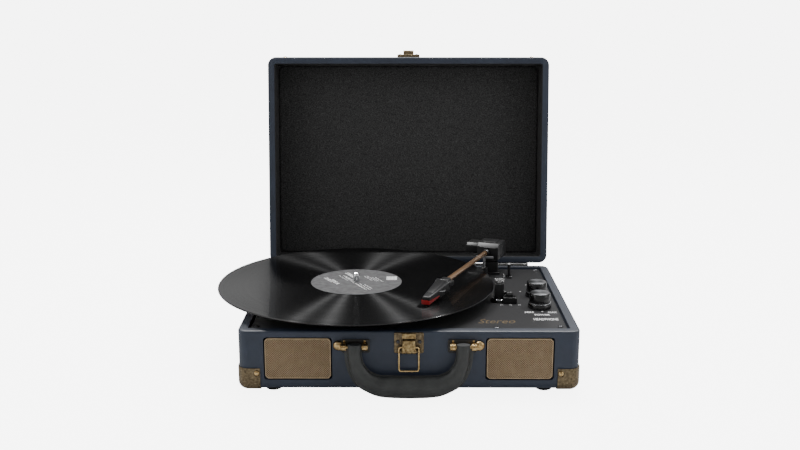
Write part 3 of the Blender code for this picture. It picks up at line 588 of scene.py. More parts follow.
def cap_corners(stem, cap, inside, under, rivet, body, node, swing=lambda piece: piece):
    """Pierce a cap for its rivets, mirror both to the four corners, and hand them over."""
    x, y, z = rivet
    # Each rivet sits in a pressed hollow a little wider than its head.
    carve(cap, inside, under, turned("rivet_hollow", (x, 0, z), [(3.7, FRONT - 0.6), (4.0, FRONT - 3.0)], 1, 28),
        turned("rivet_hollow", (0, y, z), [(3.5, CASE_X + 0.5), (3.9, CASE_X + 3.0)], 0, 28))
    rivets = cap_rivets(f"{stem}_rivets_2", x, y, z)
    cap.name = f"{stem}_cap_2"
    for number, x_side, y_side in ((1, -1, 1), (3, -1, -1), (4, 1, -1), (2, 1, 1)):
        for piece, kind, material in ((cap, "cap", brass), (rivets, "rivets", bright_brass)):
            if number != 2:
                piece = mirrored(piece, f"{stem}_{kind}_{number}", x_side, y_side)
            hand_over(swing(piece), body, material, "brass", f"{node}_{number}")


cap_corners("corner", corner_form("corner_cap", 1.2, CASE_BOTTOM - 1.2, 29.6, 7.0, 148, -103),
    corner_form("corner_inside", 0.2, CASE_BOTTOM - 0.2, 60.0, 7.0, 120, -60),
    block("corner_under", (120, -116, 0), (161, -60, 30)), (151.2, -106.2, 24.6), "base", "base_corner")

# --- Handle brackets ---
# Each is a blackened steel strap riveted to the front, with two rolled brass-plated knuckles
# that hold the handle's pin, and a domed brass lug over its outer rivet.
HANDLE_Y = -132.5
HANDLE_Z = 54.5

# Blackened steel: dark bronze oxide, a little brighter than paint.
blackened, shader = finish("blackened_steel_strap", "#1a1815", 0.5, 1.5, 3.0, dull=(0.32, 0.6), metallic=0.2)


def barrel(name, x0, x1, y, z, radius, sides=24, dome=0.5):
    """A round bar along X with softened ends."""
    return turned(name, (0, y, z), [(radius - dome, x0), (radius, x0 + dome), (radius, x1 - dome),
        (radius - dome, x1)], 0, sides)


strap = block("bracket_strap_r", (38.4, FRONT - 1.5, 46.6), (67.0, FRONT - 0.25, 60.5), (2.0, 4, front_to_back),
    (0.4, 2, in_front_of(FRONT - 1.4)))
lug = turned("bracket_lug", (69.6, 0, 54.0), [(5.1, FRONT - 0.25), (5.2, FRONT - 1.2), (5.0, FRONT - 2.2),
    (4.2, FRONT - 3.3), (2.6, FRONT - 4.1), (0.9, FRONT - 4.4)], 1, 40)
knuckles = []
for x0, x1 in ((40.9, 45.7), (61.8, 66.8)):
    knuckles.append(block("knuckle_wing", (x0 + 0.2, HANDLE_Y + 0.5, 51.2), (x1 - 0.2, FRONT - 1.2, 57.6),
        (0.5, 3, sideways)))
    for name, start, end, radius, dome in (("roll", x0, x1, 3.5, 0.5), ("bead", x0 - 0.4, x0 + 0.5, 3.75, 0.25),
            ("bead", x1 - 0.5, x1 + 0.4, 3.75, 0.25)):
        knuckles.append(barrel(f"knuckle_{name}", start, end, HANDLE_Y, HANDLE_Z - 0.1, radius, 28, dome))
pin = barrel("handle_pin", 41.5, 66.2, HANDLE_Y, HANDLE_Z, 1.5, 16, 0.2)
screws = [cross_head("strap_screw", (x, FRONT - 1.5, 58.6), 1.15, 0.7, 1, -1.0, 16) for x in (43.6, 63.9)]
hardware = join_up("handle_hardware_r", lug, *knuckles, pin, *screws)
for tag in ("l", "r"):
    for piece, stem, material in ((strap, "bracket_strap", blackened), (hardware, "handle_hardware", bright_brass)):
        if tag == "l":
            piece = mirrored(piece, f"{stem}_l", -1, 1)
        hand_over(piece, "base", material, "brass", f"handle_bracket_{tag}")

# --- Carrying handle ---
# A steel strip inside self-skinned polyurethane foam, moulded in two halves, so a thin flash
# runs round its back edge. The skin is a satin grey-black with a faint leather grain.
foam_skin, shader = finish("polyurethane_skin", "#2a2c2b", 0.46, 12, 3.0, tints=((0.3, "#262827"), (0.7, "#303231")),
    sockets=(("Specular IOR Level", 0.45),))
spot = add_node(foam_skin, "TexCoord")
hide = add_node(foam_skin, "TexVoronoi", [("Vector", spot, "Object"), ("Scale", 1000 / 1.4)], feature="SMOOTH_F1")
bump = add_node(foam_skin, "Bump", [("Height", hide, "Distance"), ("Strength", 0.5), ("Distance", 0.0003)])
connect(foam_skin, bump, "Normal", shader, "Normal")

# Middle line of the handle from its lowest point to the pin: x, z, half height and half depth.
GRIP_LINE = [(0.0, 12.9, 11.3, 6.9), (20.0, 13.3, 11.0, 6.9), (32.0, 14.8, 10.1, 6.8), (44.0, 21.6, 9.1, 6.4),
    (50.9, 33.5, 7.5, 5.8), (53.2, 44.0, 6.9, 5.5), (53.5, 52.0, 6.9, 5.3), (53.5, 57.6, 6.7, 4.5)]


def eased(line, steps):
    """Points between the given ones on a smooth curve through them all."""
    smooth = []
    last = len(line) - 1
    for i in range(last):
        before, start, end, after = line[max(i - 1, 0)], line[i], line[i + 1], line[min(i + 2, last)]
        for k in range(steps):
            t = k / steps
            smooth.append([0.5 * (2 * b + (c - a) * t + (2 * a - 5 * b + 4 * c - d) * t * t
                                  + (3 * b - a - 3 * c + d) * t ** 3)
                           for a, b, c, d in zip(before, start, end, after)])
    smooth.append(list(line[last]))
    return smooth


def drawn_along(name, line, y, sides):
    """A rounded bar in an upright plane, bridged from one oval to the next along a line."""
    hoops = []
    for i, (x, z, half, depth) in enumerate(line):
        before = line[max(i - 1, 0)]
        after = line[min(i + 1, len(line) - 1)]
        slope = math.atan2(after[1] - before[1], after[0] - before[0])
        select_none()
        bpy.ops.mesh.primitive_circle_add(vertices=sides, radius=0.001, location=at(x, y, z),
            rotation=(0, math.radians(90) - slope, 0))
        bpy.context.object.scale = (half, depth, 1)
        hoops.append(settle("hoop"))
    bar = join_up(name, *hoops)
    bpy.ops.object.mode_set(mode="EDIT")
    bpy.ops.mesh.select_mode(type="VERT")
    for i in range(len(line) - 1):
        leave_edit()
        bar.data.vertices.foreach_set("select",
            [i * sides <= n < (i + 2) * sides for n in range(len(bar.data.vertices))])
        bar.data.edges.foreach_set("select", [(edge.vertices[0] // sides == edge.vertices[1] // sides)
            and i <= edge.vertices[0] // sides <= i + 1 for edge in bar.data.edges])
        bpy.context.tool_settings.mesh_select_mode = (False, True, False)
        bar.data.polygons.foreach_set("select", [False] * len(bar.data.polygons))
        bpy.ops.object.mode_set(mode="EDIT")
        bpy.ops.mesh.bridge_edge_loops()
    bpy.ops.mesh.select_mode(type="EDGE")
    bpy.ops.mesh.select_all(action="DESELECT")
    bpy.ops.mesh.select_non_manifold(extend=False, use_wire=False, use_boundary=True, use_multi_face=False,
        use_non_contiguous=False, use_verts=False)
    bpy.ops.mesh.edge_face_add()
    close_outwards()
    return bar


half_grip = eased(GRIP_LINE, 4)
whole_grip = [[-x, z, half, depth] for x, z, half, depth in reversed(half_grip[1:])] + half_grip
grip = drawn_along("handle_grip", whole_grip, HANDLE_Y - 1.2, 28)
# The flash: a thin fin just behind the middle that stands out round the outer curve.
flash_line = []
for x, z, half, depth in whole_grip[3:-3]:
    spread = 0.3 + 1.5 * min(abs(x) / 50.0, 1.0) ** 2
    flash_line.append([x + math.copysign(spread - 0.3, x), z, half + spread - 0.1, 0.6])
flash = drawn_along("handle_flash", flash_line, HANDLE_Y + 1.6, 24)
hand_over(grip, "grip", foam_skin, "handle_skin", "handle")
hand_over(flash, "grip", foam_skin, "handle_skin", "handle")

# --- Latch ---
# A pressed draw latch in antique brass: a plate with two screws, a strap folded over its top,
# a lever on a small pin, and a bent wire bail that hooks the catch on the lid.
LEVER_Y = -129.0
LEVER_Z = 48.6

# The same plating made paler for the fold and lever, a painted highlight: paler, smoother and with less brown in its
# hollows.
painted_highlight_brass, shader = finish("brass_with_painted_highlight", "#94805a", 0.28, 2.5, 4.0,
    tints=((0.36, "#6d5a3b"), (0.64, "#a8936a")), metallic=1.0)

plate = block("latch_plate", (-14.7, FRONT - 1.4, 46.0), (14.7, FRONT - 0.2, 67.6), (1.6, 4, front_to_back),
    (0.5, 3, in_front_of(FRONT - 1.3)))
pick(plate, "FACE", lambda place, normal: normal.y < -0.99)
bpy.ops.mesh.inset(thickness=0.0009)
bpy.ops.transform.translate(value=(0, 0.0004, 0))
leave_edit()
fold = block("latch_fold", (-6.6, FRONT - 3.0, 61.0), (6.6, FRONT - 1.2, 67.2),
    (0.8, 4, lambda place, along: sideways(place, along) and place.y < FRONT - 2.9))
ears = []
for side in (-1, 1):
    low, high = sorted((side * 7.4, side * 8.6))
    ears.append(block("latch_ear", (low, LEVER_Y - 1.7, LEVER_Z - 1.8), (high, FRONT - 1.0, LEVER_Z + 1.8),
        (1.5, 4, lambda place, along: sideways(place, along) and place.y < LEVER_Y)))
lever_pin = barrel("latch_pin", -8.9, 8.9, LEVER_Y, LEVER_Z, 0.9, 14, 0.2)
latch_screws = [cross_head("latch_screw", (x, FRONT - 1.4, 58.0), 1.9, 1.0, 1, -1.0, 20) for x in (-10.7, 10.7)]
hand_over(join_up("latch_plate_set", plate, *ears), "base", brass, "brass", "latch_plate")
# The fold and its pin take the paler plating, a painted highlight.
hand_over(join_up("latch_fold_set", fold, lever_pin), "base", painted_highlight_brass, "brass", "latch_plate")
for number, piece in enumerate(latch_screws, 1):
    piece.name = f"latch_screw_{number}"
    hand_over(piece, "base", screw_black, "steel")

lever = block("latch_lever", (-7.0, LEVER_Y - 1.6, LEVER_Z), (7.0, FRONT - 2.0, 60.4))
narrow(lever, facing_up, 0.86, (0, LEVER_Y, 60.4))
round_edges(lever, 0.6, 3, lambda place, along: place.z > 50 and place.y < LEVER_Y - 1.4 or place.z > 60.3)
rolls = [barrel("lever_roll", x0, x1, LEVER_Y, LEVER_Z, 2.15, 20, 0.3) for x0, x1 in ((-7.1, -3.0), (-2.6, 2.6),
    (3.0, 7.1))]
press = block("lever_press", (-3.6, LEVER_Y - 2.3, 51.5), (3.6, LEVER_Y - 1.2, 57.5),
    (0.5, 3, in_front_of(LEVER_Y - 2.2)))
# The lever takes the paler plating too, a painted highlight.
hand_over(join_up("latch_lever_set", lever, press, *rolls), "lever", painted_highlight_brass, "brass", "latch_lever")
give("latch_bail", bright_brass)

# --- Back panel, sockets and hinges ---
# A black ABS insert with two line-out sockets and a power socket, a zinc-plated jack in the right wall, and two steel
# hinges on the back, plated like the rest of the hardware.
black_abs, shader = finish("moulded_black_abs", "#121213", 0.4, 0.5, 3.0, dull=(0.34, 0.5), relief=(0.12, 0.00005),
    sockets=(("Specular IOR Level", 0.28),))

# Zinc-plated steel: cool grey with a faint spangle.
zinc, shader = finish("zinc_plated_steel", "#8f9092", 0.36, 3, 4.0, dull=(0.26, 0.48), metallic=1.0)

BACK = 125.0
hand_over(block("socket_insert", (29.4, BACK - 3.0, 26.4), (90.6, BACK - 0.6, 45.6), (1.8, 4, front_to_back),
    (0.4, 2, lambda place, along: place.y > BACK - 0.7)), "base", black_abs, "black_plastic", "rear_socket_panel")
red_nylon, shader = finish("red_nylon_collar", "#a31d1d", 0.45, 1.2, dull=(0.38, 0.55))
white_nylon, shader = finish("white_nylon_collar", "#d9d9d6", 0.45, 1.2, dull=(0.38, 0.55))
for name, x, material in (("line_out_red", 42.0, red_nylon), ("line_out_white", 56.0, white_nylon)):
    hand_over(turned(f"{name}_collar", (x, 0, 36.0), [(4.9, BACK - 0.7), (4.9, BACK + 0.4), (4.5, BACK + 0.8)], 1,
        32), "base", material, "black_plastic", "rear_socket_panel")
    hand_over(turned(f"{name}_sleeve", (x, 0, 36.0), [(4.1, BACK + 0.7), (4.1, BACK + 5.6), (3.8, BACK + 6.0),
        (3.0, BACK + 6.0), (2.9, BACK + 1.4), (1.7, BACK + 1.3), (1.6, BACK + 3.0)], 1, 32), "base", zinc, "steel",
        "rear_socket_panel")
hand_over(turned("power_socket", (77.0, 0, 36.0), [(5.4, BACK - 0.7), (5.4, BACK + 0.1), (5.0, BACK + 0.4),
    (2.9, BACK + 0.4), (2.75, BACK - 0.2), (2.7, BACK - 2.0)], 1, 32), "base", black_abs, "black_plastic",
    "rear_socket_panel")
hand_over(turned("power_socket_pin", (77.0, 0, 36.0), [(1.0, BACK - 2.0), (1.0, BACK - 0.4), (0.6, BACK)], 1, 20),
    "base", zinc, "steel", "rear_socket_panel")

hand_over(turned("phones_jack", (0, -80, 45), [(4.9, 168.0), (4.9, 170.3), (4.4, 170.9), (2.3, 170.9), (1.9, 170.5),
    (1.8, 163.0)], 0, 32), "base", zinc, "steel", "headphone_socket")

for tag in ("l", "r"):
    for name in (f"hinge_base_leaf_{tag}", f"hinge_lid_leaf_{tag}"):
        give(name, blackened)
    give(f"hinge_pin_{tag}", zinc)
hinge_screw = cross_head("hinge_screw_l1", (-139.0, BACK + 1.2, 56.5), 2.2, 0.9, 1, 1.0, 20)
hinge_screws = [copy_to(hinge_screw, f"hinge_screw_l{number}", x, 0, 0) for number,
    x in enumerate((14.0, 28.0, 250.0, 264.0, 278.0), 2)]
for piece in (hinge_screw, *hinge_screws):
    hand_over(piece, "base", blackened, "steel")
# A rolled barrel closes the joint between the two hinges.
hand_over(barrel("hinge_roll", -94.0, 96.0, 127.25, 68.4, 2.2, 24, 0.3), "base", blackened, "steel")

# --- Works under the deck ---
# The parts that a turn of the deck screws would show: a can motor with its brass pulley, a flat
# neoprene belt, a green laminate board with two potentiometers, and the steel spindle.
green_board, shader = finish("green_board_laminate", "#1d4a2a", 0.45, 4, dull=(0.35, 0.55))
spindle_steel, shader = finish("ground_spindle_steel", "#c9cacc", 0.12, 0.6, dull=(0.08, 0.2), metallic=1.0)
for name, material in (("motor", zinc), ("motor_pulley", bright_brass), ("drive_belt", rubber),
        ("control_board", green_board), ("spindle", spindle_steel)):
    give(name, material)

# --- Platter and mat ---
# A moulded ABS platter with a shallow rim, and a rubber slip mat under the record.
PLATTER = (-57.5, 2.0)
hand_over(turned("platter_wheel", (*PLATTER, 0), [(56.8, 76.2), (57.0, 68.8), (60.0, 68.8), (60.2, 76.0),
    (96.4, 76.0), (96.6, 69.8), (97.2, 69.5), (99.0, 69.5), (99.7, 69.9), (100.0, 70.6), (100.0, 78.2), (99.7, 78.8),
    (99.0, 79.0), (9.0, 79.0)], 2, 128), "platter", black_abs, "black_plastic", "platter")
hand_over(turned("slip_mat", (*PLATTER, 0), [(97.4, 79.3), (98.0, 79.7), (98.0, 80.6), (97.6, 81.0), (50.0, 81.0),
    (8.0, 81.0)], 2, 128), "platter", rubber, "rubber", "platter_mat")

# --- Record ---
# A 12-inch disc pressed from black vinyl: a round bead at the edge, bands of grooves between
# smooth spaces, a run-out and a paper label pressed into its middle.
RECORD_TOP = 83.0

vinyl, shader = start_material("pressed_record_vinyl", "#0a0a0b", 0.36, sockets=(("IOR", 1.54),
    ("Specular IOR Level", 0.3), ("Anisotropic", 1.0), ("Anisotropic Rotation", 0.25), ("Coat Weight", 0.22),
    ("Coat Roughness", 0.02), ("Coat IOR", 1.42)))
spot = add_node(vinyl, "TexCoord")
spindle = at(*PLATTER, 0)
from_spindle = add_node(vinyl, "Mapping", [("Vector", spot, "Object"), ("Location", (-spindle.x, -spindle.y, 0)),
    ("Scale", (1, 1, 0))])
radius = add_node(vinyl, "VectorMath", [(0, from_spindle, "Vector")], operation="LENGTH")
# Tracks: smooth spaces at the lead-in, between the songs and in the run-out, over a radius of 151 mm.
ratio = add_node(vinyl, "Math", [(0, radius, "Value"), (1, 0.151)], operation="DIVIDE")
tracks = add_node(vinyl, "ValToRGB", [("Fac", ratio, "Value")])
ramp = tracks.color_ramp
ramp.interpolation = "CONSTANT"
ramp.elements[0].color = (0, 0, 0, 1)
ramp.elements[1].position = 0.385
ramp.elements[1].color = (1, 1, 1, 1)
for radius_mm, value in ((70.6, 0), (71.4, 1), (88.2, 0), (89.0, 1), (104.5, 0), (105.3, 1), (121.6, 0), (122.4, 1),
        (145.8, 0)):
    stop = ramp.elements.new(radius_mm / 151.0)
    stop.color = (value, value, value, 1)
# The real grooves are 0.1 mm apart; they are drawn 0.8 mm apart so that they show.
ring_wave = add_node(vinyl, "Math", [(0, radius, "Value"), (1, 2 * math.pi / 0.0008)], operation="MULTIPLY")
ring = add_node(vinyl, "Math", [(0, ring_wave, "Value")], operation="SINE")
cut = add_node(vinyl, "Math", [(0, ring, "Value"), (1, tracks, "Color")], operation="MULTIPLY")
groove = add_node(vinyl, "Bump", [("Height", cut, "Value"), ("Strength", 0.10), ("Distance", 0.00006)])
connect(vinyl, groove, "Normal", shader, "Normal")
# Loud and quiet passages change how dull the ring looks.
loud = add_node(vinyl, "TexNoise", [("W", ratio, "Value"), ("Scale", 42.0), ("Detail", 6.0)], noise_dimensions="1D")
dull = add_node(vinyl, "MapRange", [("Value", loud, "Fac"), ("From Min", 0.3), ("From Max", 0.7), ("To Min", 0.2),
    ("To Max", 0.24)])
connect(vinyl, dull, "Result", shader, "Roughness")
around = add_node(vinyl, "Tangent", direction_type="RADIAL", axis="Z")
connect(vinyl, around, "Tangent", shader, "Tangent")

hand_over(turned("record_disc", (*PLATTER, 0), [(149.6, 81.3), (150.6, 81.5), (151.0, 82.0), (151.0, 82.4),
    (150.6, 82.9), (149.8, 83.0), (148.6, 82.9), (147.0, 82.72), (57.0, 82.72), (52.0, 82.78), (51.0, 82.9),
    (8.0, 82.9)], 2, 192), "platter", vinyl, "vinyl", "record", smooth=25)

# Paper label: uncoated grey stock printed with paler lines.
label_paper, shader = finish("grey_label_paper", "#5d5d5e", 0.7, 6, 5.0, tints=((0.3, "#4f4f50"), (0.7, "#6b6b6c")),
    sockets=(("Specular IOR Level", 0.2),))
label_ink, shader = finish("pale_label_ink", "#ffffff", 0.6, 0.8, dull=(0.5, 0.7))

hand_over(turned("record_label", (*PLATTER, 0), [(50.0, 82.92), (50.0, 82.98), (49.8, 83.0), (36.0, 83.0),
    (35.6, 82.94), (35.2, 83.0), (8.0, 83.0)], 2, 96), "platter", label_paper, "vinyl")


def label_words(name, words, x, y, height, width=None):
    """A line of print on the label."""
    printed(name, words, (PLATTER[0] + x, PLATTER[1] + y, RECORD_TOP + 0.04), height, label_ink, width,
        body="platter", up=math.radians(-62), slot="vinyl", bold=0.00022)


label_words("label_side", "SIDE A", -24, -2, 5.0)
label_words("label_speed", "33 RPM", -31, 6, 4.6)
label_words("label_stereo", "STEREO", -8, 25, 4.6)
for number, (x, y, width) in enumerate(((-15, 14, 22), (-11, 15.5, 20), (-7, 10, 26), (-2.5, -4, 44), (7, -22, 24),
        (10.5, -21, 26), (14, -20, 18), (13, 12, 20), (17, 11, 24), (21, 9, 16), (25, 8, 20)), 1):
    label_words(f"label_line_{number}", "~ - . ~ - . -- ~ . -", x, y, 3.4, width)
bars = []
for number in range(7):
    x = PLATTER[0] + 33 + number * 1.7
    bars.append(block("label_bar", (x, PLATTER[1] + 6, RECORD_TOP + 0.02),
        (x + 1.3 + 0.3 * (number % 2), PLATTER[1] + 20, RECORD_TOP + 0.07)))
hand_over(join_up("label_bars", *bars), "platter", label_ink, "vinyl", smooth=0)

# --- Tonearm base, lifter and arm rest ---
# Black ABS mouldings screwed to the deck. The lifter is a black post with a zinc-plated curved bar under the tube,
# and the cueing lever beside it has a pale tip.
ARM = (98.5, 100.0)
ARM_Z = 95.0

nickel, shader = finish("nickel_plated_steel", "#c4c5c7", 0.16, 1.2, dull=(0.1, 0.26), metallic=1.0)

arm_base = block("arm_base_block", (90, 90.5, 66.8), (107, 111, 81.6), (2.0, 5, upright), (0.8, 3, above(81.5)))
ledge = block("arm_base_ledge", (87.4, 88.0, 66.8), (109.5, 113.0, 69.6), (2.4, 4, upright), (0.6, 3, above(69.5)))
web = block("arm_base_web", (86.4, 79.0, 66.8), (93.0, 91.0, 71.0))
lift_boss = turned("lift_boss", (89.1, 77.9, 0), [(5.4, 66.8), (5.4, 68.0), (4.4, 68.6), (4.2, 78.4), (3.6, 79.0),
    (1.9, 79.0)], 2, 32)
stud = turned("swing_stud", (*ARM, 0), [(3.4, 81.4), (3.2, 81.8), (2.0, 81.8), (2.0, 85.4)], 2, 24)
collar = turned("swing_collar", (*ARM, 0), [(6.8, 81.4), (6.8, 81.7), (6.4, 81.8)], 2, 32)
hand_over(join_up("arm_base", arm_base, ledge, web, lift_boss, collar), "base", black_abs, "black_plastic",
    "tonearm_base")
hand_over(stud, "base", nickel, "chrome", "tonearm_base")
give("tonearm_yoke", black_abs)
give("lift_bar", zinc)

cue_stem = block("cue_lever", (117.4, 78.5, 66.6), (120.2, 81.5, 82.0))
pick(cue_stem, "FACE", facing_up)
bpy.ops.transform.resize(value=(1.25, 1.2, 1), center_override=at(118.8, 80, 82))
leave_edit()
round_edges(cue_stem, 0.5, 3, above(67))
cue_hub = barrel("cue_hub", 116.4, 121.2, 80.0, 65.0, 2.2, 20, 0.3)
cue_neck = block("cue_neck", (117.8, 79.0, 65.2), (119.8, 81.0, 67.2))
hand_over(join_up("cue_lever_arm", cue_stem, cue_neck, cue_hub), "cue", black_abs, "black_plastic", "cue_lever")
hand_over(block("cue_tip", (117.3, 78.4, 82.0), (120.3, 81.6, 83.0), (0.45, 3, above(82.9))), "cue", white_nylon,
    "black_plastic", "cue_lever")

REST = (98.4, -17.0)
rest_foot = turned("rest_foot", (*REST, 0), [(9.0, 66.8), (9.0, 67.6), (8.4, 68.6), (6.4, 69.6), (5.2, 70.4),
    (4.95, 71.2), (4.95, 72.4)], 2, 40)
rest_tower = block("rest_tower", (REST[0] - 4.9, REST[1] - 4.2, 72.0), (REST[0] + 4.9, REST[1] + 4.2, 86.8),
    (0.9, 3, upright), (0.5, 3, above(86.7)))
rest_ring = turned("rest_ring", (*REST, 0), [(8.2, 68.9), (8.5, 69.2), (8.5, 69.9), (8.1, 70.2), (5.2, 70.3)], 2, 40)
cradle_parts = []
for low, high in (((-2.0, -2.6, 86.2), (2.4, 2.6, 90.2)), ((-4.9, -2.8, 89.2), (5.3, 2.8, 91.4)),
        ((3.9, -2.8, 90.6), (5.3, 2.8, 97.0)), ((-4.9, -2.8, 90.6), (-3.9, 2.8, 92.0)),
        ((4.0, 1.8, 84.0), (5.3, 3.6, 96.0)), ((-0.6, 2.2, 86.0), (3.0, 3.4, 92.0))):
    cradle_parts.append(block("cradle_part", (REST[0] + low[0], REST[1] + low[1], low[2]),
        (REST[0] + high[0], REST[1] + high[1], high[2]), (0.45, 3, everywhere)))
cradle = join_up("rest_cradle", *cradle_parts)
switch_box = block("switch_box", (102.0, -28.0, 66.8), (117.0, -16.0, 73.4), (1.2, 3, upright), (0.5, 3, above(73.3)))
carve(switch_box, rounded_cutter("switch_slot", (103.3, -23.4, 71.5), (115.7, -20.6, 80), 2, 1.2))
bridge = block("switch_bridge", (98.0, -21.0, 66.8), (103.0, -16.5, 70.0))
hand_over(join_up("rest_post", rest_foot, rest_tower, switch_box, bridge), "base", black_abs, "black_plastic",
    "arm_rest")
hand_over(rest_ring, "base", nickel, "chrome", "arm_rest")
smoked, shader = finish("clear_styrene", "#d9d9d9", 0.06, 3.0, dull=(0.04, 0.12),
    sockets=(("Transmission Weight", 0.85),))
hand_over(cradle, "base", smoked, "black_plastic", "arm_rest")

for name, body, place, half, low, high, tail in (("speed_switch", "speed", (109.5, -22.0), (3.2, 4.2), 73.9, 77.0,
        70.8), ("auto_stop_switch", "auto_stop", (106.0, 5.0), (3.0, 2.2), 66.8, 70.6, 61.0)):
    x, y = place
    cap = block(f"{name}_cap", (x - half[0], y - half[1], low), (x + half[0], y + half[1], high),
        (0.5, 3, above(low + 0.1)))
    pick(cap, "FACE", facing_up)
    bpy.ops.mesh.inset(thickness=0.0007)
    bpy.ops.transform.translate(value=(0, 0, -0.0005))
    leave_edit()
    stalk = block("switch_stalk", (x - 1.7, y - 0.85, tail), (x + 1.7, y + 0.85, low + 0.3))
    hand_over(join_up(f"{name}_button", cap, stalk), body, black_abs, "black_plastic", name)

# --- Tonearm ---
# A drawn aluminium tube lacquered copper, set in a black ABS hood that hides the bearing, with a
# side block over the wires, and a moulded headshell that carries a red stylus on a ceramic pickup.


def turn_about(piece, degrees, axis, centre):
    """Turn a piece about an axis through a point; with no window the operator counts the other way."""
    focus(piece)
    bpy.ops.object.mode_set(mode="EDIT")
    select_whole()
    bpy.ops.transform.rotate(value=math.radians(-degrees), orient_axis=axis, orient_type="GLOBAL",
        center_override=at(*centre))
    leave_edit()
    return piece


def arm_block(name, low, high, *edges):
    """A block on the arm, given as (side, forward, height) while the arm points to the front."""
    return block(name, (ARM[0] + low[0], ARM[1] - high[1], low[2]), (ARM[0] + high[0], ARM[1] - low[1], high[2]),
        *edges)


def swing_in(piece):
    """Turn an arm piece from pointing to the front to lying over the record."""
    return turn_about(piece, -23.1, "Z", (*ARM, 0))


hood = arm_block("arm_hood", (-12.4, -16, 86.5), (14.0, 15.0, 105.2), (4.4, 1, lambda place,
    along: sideways(place, along) and place.z > 105), (0.9, 3, above(100.4)), (0.8, 3, upright))
carve(hood, arm_block("hood_inside", (-11.0, -13.5, 80), (12.0, 12.5, 101.2)))
# A raised plate on the hood's top and a rib down its right side.
crown = arm_block("hood_crown", (-7.0, -8.6, 104.6), (9.0, 8.2, 106.0), (0.5, 2, above(105.9)))
rib = arm_block("hood_rib", (13.6, -11.0, 88.0), (14.4, 4.0, 101.5),
    (0.3, 2, lambda place, along: place.x > ARM[0] + 14.3))
brow = arm_block("hood_brow", (-9.0, 14.4, 99.6), (11.0, 15.6, 101.0), (0.4, 2, in_front_of(ARM[1] - 15.5)))
sleeve = turned("arm_sleeve", (ARM[0], 0, ARM_Z), [(3.9, ARM[1] - 12.0), (3.9, ARM[1] - 19.8), (3.5, ARM[1] - 20.4),
    (2.9, ARM[1] - 20.4)], 1, 32)
hand_over(swing_in(join_up("arm_hood_cover", hood, crown, rib, brow, sleeve)), "arm", black_abs, "black_plastic",
    "arm_hood")

side_block = arm_block("side_block", (-27.0, -7.0, 91.5), (-12.7, 12.0, 103.6),
    (3.4, 1, lambda place, along: sideways(place, along) and place.z > 103 and place.y < ARM[1] - 11),
    (0.9, 3, everywhere))
hand_over(swing_in(side_block), "arm", black_abs, "black_plastic", "counterweight")

# Copper lacquer on drawn aluminium: fine lines along the tube under a clear coat.
copper, shader = start_material("copper_lacquered_aluminium", "#a68463", 0.3, 0.9,
    (("Coat Weight", 0.5), ("Coat Roughness", 0.15)))
spot = add_node(copper, "TexCoord")
drawn = add_node(copper, "Mapping", [("Vector", spot, "Object"), ("Rotation", (0, 0, math.radians(23.1))),
    ("Scale", (1 / 0.0003, 1 / 0.02, 1 / 0.0003))])
line = add_node(copper, "TexNoise", [("Vector", drawn, "Vector"), ("Scale", 1.0)])
shade = add_node(copper, "MapRange", [("Value", line, "Fac"), ("To Min", 0.22), ("To Max", 0.4)])
connect(copper, shade, "Result", shader, "Roughness")
hand_over(swing_in(turned("copper_tube", (ARM[0], 0, ARM_Z), [(2.4, ARM[1] - 12.2), (2.7, ARM[1] - 13.0),
    (2.7, ARM[1] - 148.6), (2.4, ARM[1] - 149.0)], 1, 40)), "arm", copper, "copper_tube", "tonearm_tube")
give("arm_pivot_pin", zinc)

neck = arm_block("shell_neck", (-4.6, 146.5, 91.2), (4.6, 158.0, 98.6), (1.2, 3, everywhere))
shell = arm_block("headshell", (-8.2, 158.0, 88.9), (8.2, 207.0, 98.0))
narrow(shell, facing_front, 0.5, (*ARM, ARM_Z))
shift(shell, "VERT", lambda place, normal: place.y < ARM[1] - 206 and place.z > 97, 0, 0, -0.0046)
shift(shell, "VERT", lambda place, normal: place.y < ARM[1] - 206 and place.z < 89, 0, 0, 0.0010)
round_edges(shell, 1.4, 4, above(90.5))
plate = arm_block("shell_plate", (-10.0, 151.5, 92.4), (10.0, 162.0, 97.6))
narrow(plate, facing_front, 0.82, (*ARM, ARM_Z))
round_edges(plate, 0.8, 3, everywhere)
ridge = arm_block("shell_ridge", (-3.4, 160.0, 96.4), (3.4, 196.0, 98.6))
shift(ridge, "VERT", lambda place, normal: place.y < ARM[1] - 195, 0, 0, -0.0035)
round_edges(ridge, 0.4, 2, everywhere)
hand_over(swing_in(join_up("headshell_cover", neck, plate, shell, ridge)), "arm", black_abs, "black_plastic",
    "headshell")
finger = arm_block("finger_lift", (5.0, 181.0, 92.6), (11.6, 185.6, 93.6))
shift(finger, "FACE", lambda place, normal: normal.x > 0.9, 0, 0, 0.0016)
round_edges(finger, 0.35, 2, everywhere)
hand_over(swing_in(finger), "arm", nickel, "black_plastic", "headshell")

hand_over(swing_in(arm_block("pickup", (-5.4, 166.0, 85.2), (5.4, 182.0, 88.5),
    (0.7, 3, lambda place, along: place.z < 86 or upright(place, along)))), "arm", black_abs, "black_plastic",
    "cartridge")
# Red styrene: glossy and a little clear, with its own colour deep in it.
red_styrene, shader = finish("red_styrene", "#8a1416", 0.2, 3, dull=(0.16, 0.3), sockets=(("Coat Weight", 0.4),))
stylus = arm_block("stylus_holder", (-5.8, 182.4, 83.9), (5.8, 208.6, 89.6))
shift(stylus, "VERT", lambda place, normal: place.y > ARM[1] - 183 and place.z < 85, 0, 0, 0.0030)
shift(stylus, "VERT", lambda place, normal: place.y < ARM[1] - 208 and place.z < 85, 0, 0, 0.0012)
narrow(stylus, lambda place, normal: normal.y < -0.7, 0.8, (*ARM, 86))
round_edges(stylus, 1.2, 4, lambda place, along: place.z < 89.5)
tip = turned("stylus_tip", (ARM[0], ARM[1] - 200.0, 0), [(1.6, 86.0), (1.2, 84.4), (0.5, 83.6)], 2, 16)
hand_over(swing_in(join_up("stylus_set", stylus, tip)), "arm", red_styrene, "red_plastic", "stylus")

